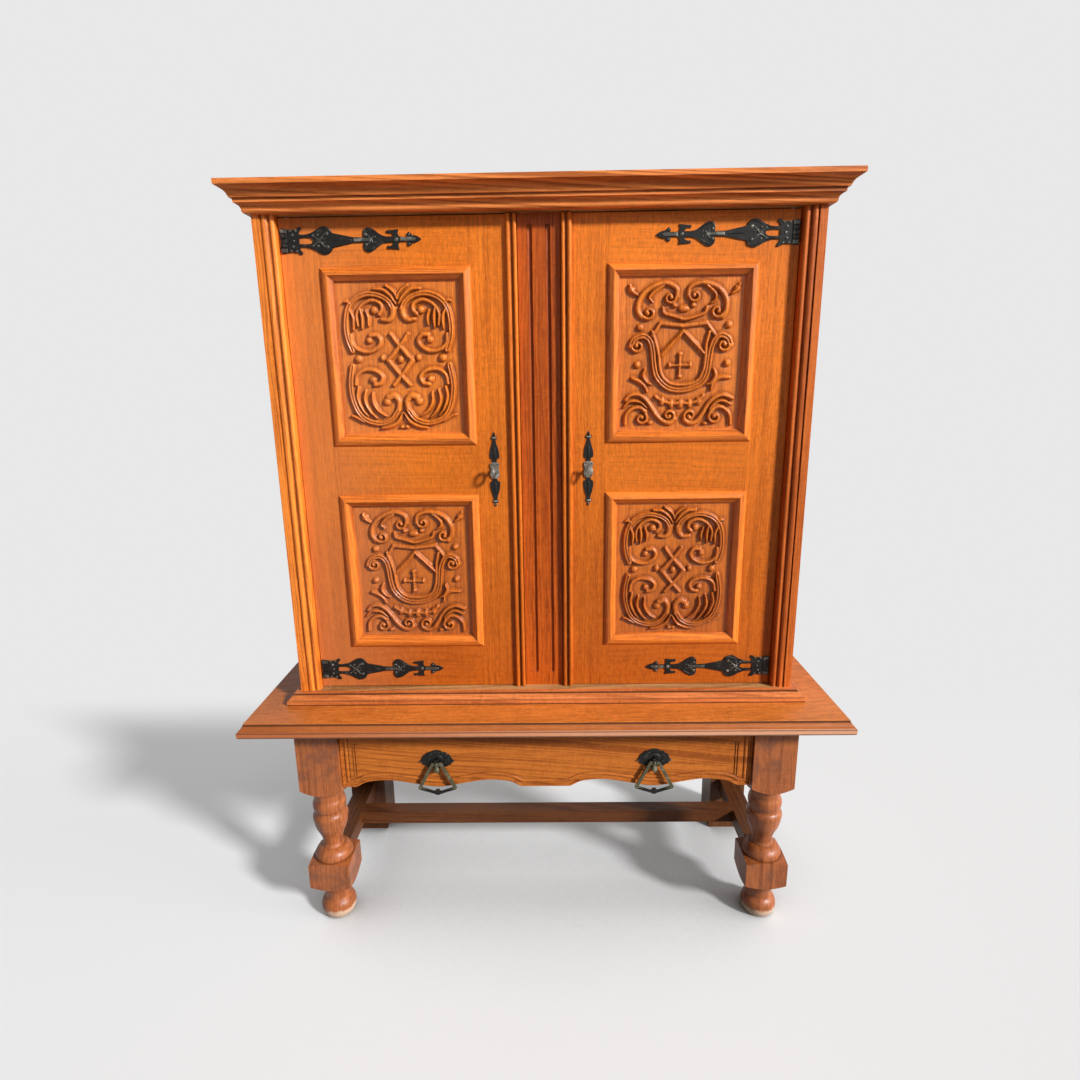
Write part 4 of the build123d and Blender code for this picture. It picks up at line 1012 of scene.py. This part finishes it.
def block(wide, tall, thick, middle=(0, 0, 0)):
    """A plain block, its size and middle in millimetres."""
    shape = bmesh.new()
    bmesh.ops.create_cube(shape, size=1.0)
    bmesh.ops.scale(shape, verts=shape.verts, vec=(wide * MM, tall * MM, thick * MM))
    bmesh.ops.translate(shape, verts=shape.verts, vec=Vector(middle) * MM)
    return shape


def round_edges(shape, edges, reach, steps):
    bmesh.ops.bevel(shape, geom=edges, offset=reach * MM, affect="EDGES", segments=steps,
                    profile=0.5, material=-1)


def domed(x, y, wide, tall, high):
    """A low dome, its rim sunk a little below zero."""
    dome = bmesh.new()
    bmesh.ops.create_uvsphere(dome, u_segments=14, v_segments=8, radius=1.0)
    bmesh.ops.bisect_plane(dome, geom=dome.verts[:] + dome.edges[:] + dome.faces[:],
                           plane_co=(0, 0, -0.2), plane_no=(0, 0, -1), clear_outer=True)
    bmesh.ops.holes_fill(dome, edges=[edge for edge in dome.edges if edge.is_boundary])
    bmesh.ops.scale(dome, verts=dome.verts, vec=(wide * MM, tall * MM, high * MM))
    bmesh.ops.translate(dome, verts=dome.verts, vec=(x * MM, y * MM, 0.0))
    for face in dome.faces:
        face.smooth = True
    return dome


def raised_bar(x0, x1, half, high, y=0.0):
    """A round-backed bar along x, with its back on zero."""
    bar = block(x1 - x0, 2 * half, high, ((x0 + x1) / 2, 0, high / 2))
    upper = [edge for edge in bar.edges if all(v.co.z > high * MM * 0.5 for v in edge.verts)]
    round_edges(bar, upper, min(half, high) * 0.6, 3)
    bmesh.ops.translate(bar, verts=bar.verts, vec=(0, y * MM, 0))
    return bar


def gather(into, part, lift=0.0, coat=None):
    """Adds one shape to another, raised by lift, and drops the first."""
    bmesh.ops.translate(part, verts=part.verts, vec=(0, 0, lift * MM))
    if coat is not None:
        for face in part.faces:
            face.material_index = coat
    mesh = bpy.data.meshes.new("gathered")
    part.to_mesh(mesh)
    part.free()
    into.from_mesh(mesh)
    bpy.data.meshes.remove(mesh)


def fix_on(name, shape, places, body, node, coats):
    """Sets copies of a shape, drawn in its own plane, on the furniture as one piece.

    A place is (x of its origin, y of its back, z of its origin, which way its x runs)."""
    whole = bmesh.new()
    for x, y, z, way in places:
        stand = Matrix(((way, 0, 0, x), (0, 0, -1, y), (0, 1, 0, z), (0, 0, 0, 1)))
        copy = shape.copy()
        bmesh.ops.transform(copy, matrix=stand, verts=copy.verts)
        bmesh.ops.recalc_face_normals(copy, faces=copy.faces)
        gather(whole, copy)
    shape.free()
    place_piece(name, whole, coats, body, node)


def both_ways(offset):
    """A part off the centre line is made on both sides of it, one on the line only once."""
    return (1, -1) if offset else (1,)


def strap_shape():
    """A hinge strap: hinge plate, fork round an open eye, two hearts, a cross and a fleur tip."""
    strap = cut_sheet(strap_outline(STRAP_EDGE), [strap_outline(STRAP_EYE)], 2.5, 0.5)
    for curl in STRAP_CURLS:
        for way in both_ways(curl[0][1]):
            gather(strap, bent_wire([(s, way * t) for s, t in curl], 1.4, 0.7), 2.3, EDGE)
    for path, half in STRAP_LINES:
        for way in (1, -1):
            gather(strap, bent_wire([(s, way * t) for s, t in path], half, 0.7), 2.3, RELIEF)
    for s, t, half in STRAP_KNOBS:
        for way in both_ways(t):
            gather(strap, domed(s, way * t, half, half, 0.6 * half), 2.4, RELIEF)
    for s0, s1, half in STRAP_BARS:
        gather(strap, raised_bar(s0, s1, half, 1.4), 2.4, RELIEF)
    for step in range(-2, 3):
        knuckle = raised_bar(0.5, 12.5, 3.7, 2.0, y=8.3 * step)
        gather(strap, knuckle, 2.3, RELIEF if abs(step) == 2 else EDGE)
    return strap


def escutcheon_shape():
    """A key plate: two black leaves with rubbed finials, and a pewter collar with the keyhole."""
    level = KEY_PLATE.z
    hole = plate_outline(KEYHOLE, level)
    plate = cut_sheet(plate_outline(ESCUTCHEON_EDGE, level), [hole], 2.0, 0.45)
    gather(plate, cut_sheet(plate_outline(COLLAR_EDGE, level), [hole], 1.4, 0.5), 1.9, RELIEF)
    for x, z, wide, tall, high, lift, coat in ESCUTCHEON_DOMES:
        for way in both_ways(x):
            gather(plate, domed(way * x, z - level / MM, wide, tall, high), lift, coat)
    return plate


for side, way in SIDES.items():
    fix_on(f"iron_straps_{side}", strap_shape(),
           [(way * STRAP_END, DOOR_FACE, level, -way) for level in STRAP_LEVELS],
           f"door_{side}", f"hinge_straps_{side}", ["iron", "rubbed_edge", "worn_relief"])
    fix_on(f"key_plate_{side}", escutcheon_shape(), [(way * KEY_PLATE.x, DOOR_FACE, KEY_PLATE.z, 1.0)],
           f"door_{side}", f"escutcheon_{side}", ["iron", "rubbed_edge", "pewter"])


def pull_plate_shape():
    """A drawer pull's plate: a scalloped shell with a domed middle and raised ribs."""
    plate = cut_sheet(plate_outline(PLATE_EDGE, PULL_LEVEL), [], 2.0, 0.5)
    gather(plate, domed(0, 0, 15.0, 11.0, 3.0), 1.2, SHEET)
    for rib in range(PLATE_RIBS):
        angle = math.radians(360 / PLATE_RIBS * (rib + 0.5))
        inner = (15.5 * math.cos(angle), 11.5 * math.sin(angle))
        outer = (26.0 * math.cos(angle), 16.0 * math.sin(angle) + 0.4)
        gather(plate, bent_wire([inner, outer], 1.5, 0.6), 1.7, EDGE if rib % 2 else SHEET)
    for x in (-35.0, 35.0):
        gather(plate, domed(x, -6.4, 1.8, 1.8, 1.2), 1.9, RELIEF)
    return plate


def pear_shape():
    """The turned drop that the pull hangs from."""
    pear = bmesh.new()
    rail = [pear.verts.new((radius, y, 0)) for radius, y in fair_line(PEAR_SIDE, 1.2) * MM]
    edges = [pear.edges.new(pair) for pair in zip(rail[:-1], rail[1:])]
    bmesh.ops.spin(pear, geom=rail + edges, cent=(0, 0, 0), axis=(0, 1, 0), angle=2 * math.pi,
                   steps=24, use_merge=True)
    bmesh.ops.remove_doubles(pear, verts=pear.verts, dist=MERGE)
    bmesh.ops.holes_fill(pear, edges=[edge for edge in pear.edges if edge.is_boundary])
    for face in pear.faces:
        face.smooth = True
    return pear


def bail_shape():
    """The hanging pull: two flat splayed legs and a pointed foot, from a pear-shaped drop."""
    outline, eye = (plate_outline(runs, PULL_LEVEL) for runs in (BAIL_EDGE, BAIL_EYE))
    bail = cut_sheet(outline, [eye], BAIL_THICK, 0.8)
    bmesh.ops.translate(bail, verts=bail.verts, vec=(0, 0, -BAIL_THICK / 2 * MM))
    for face in bail.faces:
        face.material_index = SHEET if face.calc_center_median().y < BAIL_FOOT * MM else EDGE
    gather(bail, pear_shape(), 0.0, EDGE)
    for x in (-3.5, 3.5):
        cheek = block(2.4, 15.0, 6.0, (x, -4.5, 0))
        round_edges(cheek, cheek.edges, 0.8, 2)
        gather(bail, cheek, 0.0, SHEET)
    pin = bmesh.new()
    bmesh.ops.create_cone(pin, cap_ends=True, segments=20, radius1=2.0 * MM, radius2=2.0 * MM,
                          depth=7.0 * MM)
    bmesh.ops.rotate(pin, verts=pin.verts, cent=(0, 0, 0), matrix=Matrix.Rotation(math.pi / 2, 3, "Y"))
    gather(bail, pin, 0.0, SHEET)
    return bail


fix_on("shell_plates", pull_plate_shape(),
       [(way * BAIL.x, DRAWER_LOW.y, PULL_LEVEL, 1.0) for way in SIDES.values()],
       "drawer", "pull_plates", ["iron", "rubbed_edge", "worn_relief"])
for side, way in SIDES.items():
    fix_on(f"drop_handle_{side}", bail_shape(), [(way * BAIL.x, BAIL.y, PULL_LEVEL, 1.0)],
           f"bail_{side}", f"bail_{side}", ["iron", "bail_metal"])


# --- the drawer front ------------------------------------------------------------------------
# The arch outwards from one pull, in millimetres: the distance from the drawer's middle, and the
# height above its foot.
DRAWER_WAVE = [(232, 0), (253, 1.9), (290, 9.0), (327, 15.2), (347, 16.3), (368, 15.0), (389.5, 11.2),
               (402, 4.6), (411, 0)]
# Bead and grooves in millimetres, from the edge in: each step (inwards, out of the drawer).
DRAWER_CUTS = [(3.0, 0.5), (1.4, -2.2), (4.6, -0.5), (1.6, 2.2), (2.6, 0.5), (2.4, -0.7), (1.4, -1.8),
               (1.0, 0.0), (0.9, 1.4)]
# The upright beads near each end: how far from the middle, how high their middles and how long.
END_BEADS = (405.0, 410.5)
END_BEAD_LEVEL = 408.5
END_BEAD_LONG = 76.0


def stepped(shape, faces, steps):
    """Moulds a face from its edge inwards, each step (inwards, out) in millimetres."""
    for inwards, out in steps:
        bmesh.ops.inset_region(shape, faces=faces, thickness=inwards * MM, depth=out * MM,
                               use_even_offset=True)


def drawer_outline():
    """The drawer front's outline: square above, and arched twice along its foot."""
    outer = fair_line(DRAWER_WAVE, 7.0)
    inner = np.column_stack([2 * BAIL.x / MM - outer[:, 0], outer[:, 1]])[::-1]
    half = np.vstack([inner[:-1], outer])
    wave = np.vstack([(half * np.array([-1, 1]))[::-1], half]) * MM
    foot, top, end = DRAWER_LOW.z, DRAWER_HIGH.z, DRAWER_HIGH.x
    return [(-end, top), (-end, foot), *[(x, foot + z) for x, z in wave], (end, foot), (end, top)]


def drawer_face():
    """The drawer front: a bead and two grooves run round inside its edge, with beads at its ends."""
    front = bmesh.new()
    face = front.faces.new([front.verts.new((x, DRAWER_LOW.y, z)) for x, z in drawer_outline()])
    face.normal_update()
    if face.normal.y > 0:
        face.normal_flip()
    back = bmesh.ops.extrude_face_region(front, geom=[face])["geom"]
    back = [item for item in back if isinstance(item, bmesh.types.BMVert)]
    bmesh.ops.translate(front, verts=back, vec=(0, DRAWER_HIGH.y - DRAWER_LOW.y, 0))
    bmesh.ops.recalc_face_normals(front, faces=front.faces)
    shown = [f for f in front.faces if f.normal.y < -0.9 and len(f.verts) > 8]
    stepped(front, shown, DRAWER_CUTS)
    for way in SIDES.values():
        for x in END_BEADS:
            bead = raised_bar(-END_BEAD_LONG / 2, END_BEAD_LONG / 2, 1.3, 1.3)
            place = (way * x * MM, DRAWER_LOW.y + 0.2 * MM, END_BEAD_LEVEL * MM)
            upright = Matrix(((0, 1, 0), (0, 0, -1), (1, 0, 0))).to_4x4()
            bmesh.ops.transform(bead, matrix=Matrix.Translation(place) @ upright, verts=bead.verts)
            bmesh.ops.recalc_face_normals(bead, faces=bead.faces)
            gather(front, bead)
    place_piece("moulded_drawer_front", front, ["drawer"], "drawer", "drawer_front")


drawer_face()


# --- the panel mouldings ---------------------------------------------------------------------
# The moulding in millimetres. Its face goes from its outer edge to its inner one in steps
# (inwards, out of the door). Its back laps the door's frame, then drops to the panel.
MOULDING_WIDE = 24.0
MOULDING_LAP = 6.0
PANEL_RECESS = 5.0
RIDGE_FOOT = 1.0
RIDGE = [(0.5, 0.9), (1.2, 1.5), (1.8, 1.7), (2.2, 1.5), (2.6, 1.2), (2.7, 0.9), (1.2, 0.2), (1.2, 0.0),
         (0.5, -0.8), (2.5, -2.5), (2.8, -2.6), (2.4, -2.1), (0.6, -0.5), (0.4, -2.0), (1.4, -0.4)]
TONGUE_SLOPE = 0.02
TONGUE = [(MOULDING_LAP, 0.0), (TONGUE_SLOPE, PANEL_RECESS),
          (MOULDING_WIDE - MOULDING_LAP - TONGUE_SLOPE, 0.0)]


def moulding_frame(left, right, bottom, top):
    """One mitred frame: a ridge that falls to the door on its outer side and to the panel inside."""
    middle = ((left + right) / 2 / MM, DOOR_FACE / MM - RIDGE_FOOT / 2, (top + bottom) / 2 / MM)
    moulding = block((right - left) / MM, RIDGE_FOOT, (top - bottom) / MM, middle)
    inner = []
    for way, steps in ((-1, RIDGE), (1, TONGUE)):
        level = [face for face in moulding.faces if face.normal.y * way > 0.9]
        stepped(moulding, level, steps)
        inner += level
    hole = [edge for face in inner for edge in face.edges]
    bmesh.ops.delete(moulding, geom=inner, context="FACES_ONLY")
    bmesh.ops.bridge_loops(moulding, edges=hole)
    bmesh.ops.recalc_face_normals(moulding, faces=moulding.faces)
    return moulding


for side, way in SIDES.items():
    frames = bmesh.new()
    for inner_edge, outer_edge, bottom, top in OPENINGS.values():
        left, right = sorted((way * inner_edge, way * outer_edge))
        gather(frames, moulding_frame(left, right, bottom, top))
    place_piece(f"ridged_mouldings_{side}", frames, ["door_moulding"], f"door_{side}",
                f"panel_mouldings_{side}")


# --- the table top ---------------------------------------------------------------------------
# Its edge in millimetres, each step (inwards, up or down) from the one before, above and below
# the nose.
NOSE = (507.0, 514.5)
EDGE_ABOVE = [(0.3, 0.9), (0.8, 0.5), (0.5, -0.6), (0.5, 0.7), (0.2, 1.6), (0.9, 0.7), (1.6, 0.7),
              (1.8, 1.6), (1.4, 2.4), (0.9, 2.8), (1.7, 0.5), (0.2, 3.9), (0.5, 0.5)]
EDGE_BELOW = [(0.5, 2.0), (1.8, 2.2), (3.0, 1.3), (3.7, 0.5)]
# The moulding is flattened out again this near the back edge, in millimetres.
BACK_EDGE = 30.0


def moulded_top():
    """The table top, with a crisp moulding round its front and sides and a plain back edge."""
    low, high = NOSE
    top = block(2 * TABLE_HALF.x / MM, 2 * TABLE_HALF.y / MM, high - low, (0, 0, (high + low) / 2))
    for way, steps in ((1, EDGE_ABOVE), (-1, EDGE_BELOW)):
        stepped(top, [face for face in top.faces if face.normal.z * way > 0.9], steps)
    for vert in top.verts:
        if vert.co.y > TABLE_HALF.y - BACK_EDGE * MM:
            vert.co.y = TABLE_HALF.y
    bmesh.ops.recalc_face_normals(top, faces=top.faces)
    place_piece("moulded_table_top", top, ["table"], "stand_and_carcass", "table_top")


moulded_top()


# --- the room --------------------------------------------------------------------------------
WHITE = (1.0, 1.0, 1.0, 1.0)
BACKDROP = (*tone(232, 232, 232), 1.0)
FILL = 0.08
FLOOR_HALF = 30.0
FLOOR_BOUNCE = 0.20
# How much of the floor's tone is paint that takes the shadow, and how much is glow, near and far.
FLOOR_PAINT = (0.66, 0.54)
FLOOR_GLOW = (0.27, 0.36)
# In metres from the middle of the cabinet: where near turns to far, and far to backdrop.
NEAR_TO_FAR = (0.60, 1.15)
FAR_TO_BACKDROP = (1.9, 3.4)
BACK_TO_BACKDROP = (0.6, 0.95)
# How open the floor is to the air, which paints shadow under and round the cabinet: fully shut, and fully
# open.
OPEN_AIR = (0.15, 0.74)
OPEN_AIR_REACH = 0.8
# Each lamp is far away: where it stands, how strong it is and how wide it looks, in degrees.
LAMPS = {
    "key_lamp": ((0.71, -0.53, 0.45), 4.7, 8.0),
    "side_lamp": ((0.94, -0.16, 0.30), 0.8, 30.0),
    "front_lamp": ((0.22, -0.92, 0.14), 0.28, 40.0),
}
LAMP_AWAY = 4.0


def seen_directly(f):
    """1 for what is seen straight on, in a gloss or through glass, 0 for bounced light."""
    rays = f.lay("ShaderNodeLightPath", out=None).outputs
    seen = f.math("MAXIMUM", rays["Is Camera Ray"], rays["Is Glossy Ray"])
    return f.math("MAXIMUM", seen, rays["Is Transmission Ray"])


def floor_finish():
    """Pale paint that takes the cabinet's shadow, with painted shadow where it is shut in under the cabinet,
    and runs out into the backdrop.
    """
    f = Finish("pale_floor")
    away = f.lay("ShaderNodeVectorMath", {0: f.where()}, out=1, operation="LENGTH")
    seen = seen_directly(f)
    out = f.spread(away, *NEAR_TO_FAR)
    # Painted shadow: the paint and the glow both darken where the floor is shut in under the cabinet.
    shut = f.lay("ShaderNodeAmbientOcclusion", {"Distance": OPEN_AIR_REACH}, out=1, samples=16)
    open_air = f.spread(shut, *OPEN_AIR)
    paint = f.times(f.spread(out, 0.0, 1.0, *FLOOR_PAINT, smooth=False),
                    f.spread(open_air, 0.0, 1.0, 0.5, 1.0, smooth=False))
    shade = f.plus(f.times(seen, paint), f.times(f.minus(1.0, seen), FLOOR_BOUNCE))
    matte = f.lay("ShaderNodeBsdfDiffuse", {"Color": f.join(shade, shade, shade)})
    glow = f.times(f.times(seen, open_air), f.spread(out, 0.0, 1.0, *FLOOR_GLOW, smooth=False))
    lift = f.lay("ShaderNodeEmission", {"Color": WHITE, "Strength": glow})
    near = f.lay("ShaderNodeAddShader", {0: matte, 1: lift})
    backdrop = f.lay("ShaderNodeEmission", {"Color": BACKDROP, "Strength": 1.0})
    far = f.math("MAXIMUM", f.spread(away, *FAR_TO_BACKDROP), f.spread(f.axes()[1], *BACK_TO_BACKDROP))
    return f.skin(f.lay("ShaderNodeMixShader", {0: f.times(far, seen), 1: near, 2: backdrop}))


def lay_floor():
    """A wide floor that the cabinet stands on."""
    mesh = bpy.data.meshes.new("floor")
    shape = bmesh.new()
    bmesh.ops.create_grid(shape, x_segments=1, y_segments=1, size=FLOOR_HALF)
    shape.to_mesh(mesh)
    shape.free()
    mesh.materials.append(floor_finish())
    floor = bpy.data.objects.new("floor", mesh)
    scene.collection.objects.link(floor)


def hang_backdrop():
    """The air round the cabinet: an even fill, seen as a pale backdrop."""
    world = bpy.data.worlds.new("studio")
    scene.world = world
    world.use_nodes = True
    air = Wiring(world.node_tree)
    fill = air.lay("ShaderNodeBackground", {"Color": WHITE, "Strength": FILL})
    pale = air.lay("ShaderNodeBackground", {"Color": BACKDROP, "Strength": 1.0})
    skin = air.lay("ShaderNodeMixShader", {0: seen_directly(air), 1: fill, 2: pale})
    air.lay("ShaderNodeOutputWorld", {0: skin}, out=None)


def hang_lamps():
    """The lamps, each aimed at the floor under the cabinet's middle."""
    for name, (place, energy, angle) in LAMPS.items():
        lamp = bpy.data.lights.new(name, "SUN")
        lamp.energy = energy
        lamp.angle = math.radians(angle)
        hung = bpy.data.objects.new(name, lamp)
        place = Vector(place) * LAMP_AWAY
        hung.matrix_world = Matrix.LocRotScale(place, (-place).to_track_quat("-Z", "Y"), None)
        scene.collection.objects.link(hung)


lay_floor()
hang_backdrop()
hang_lamps()


# --- the camera ------------------------------------------------------------------------------
# Where the camera stands, in metres, and where its right side, its top and its back point.
CAMERA_PLACE = (0.01475, -1.43742, 1.19546)
CAMERA_RIGHT = (0.99982866, 0.01183162, -0.01423616)
CAMERA_UP = (0.01107584, 0.23383434, 0.97221337)
CAMERA_BACK = (0.01483176, -0.97220446, 0.23366323)

lens = bpy.data.cameras.new("camera")
lens.lens = 22.05
lens.sensor_width = 36.0
camera = bpy.data.objects.new("camera", lens)
turned = Matrix((CAMERA_RIGHT, CAMERA_UP, CAMERA_BACK)).transposed().to_4x4()
camera.matrix_world = Matrix.Translation(CAMERA_PLACE) @ turned
scene.collection.objects.link(camera)
scene.camera = camera
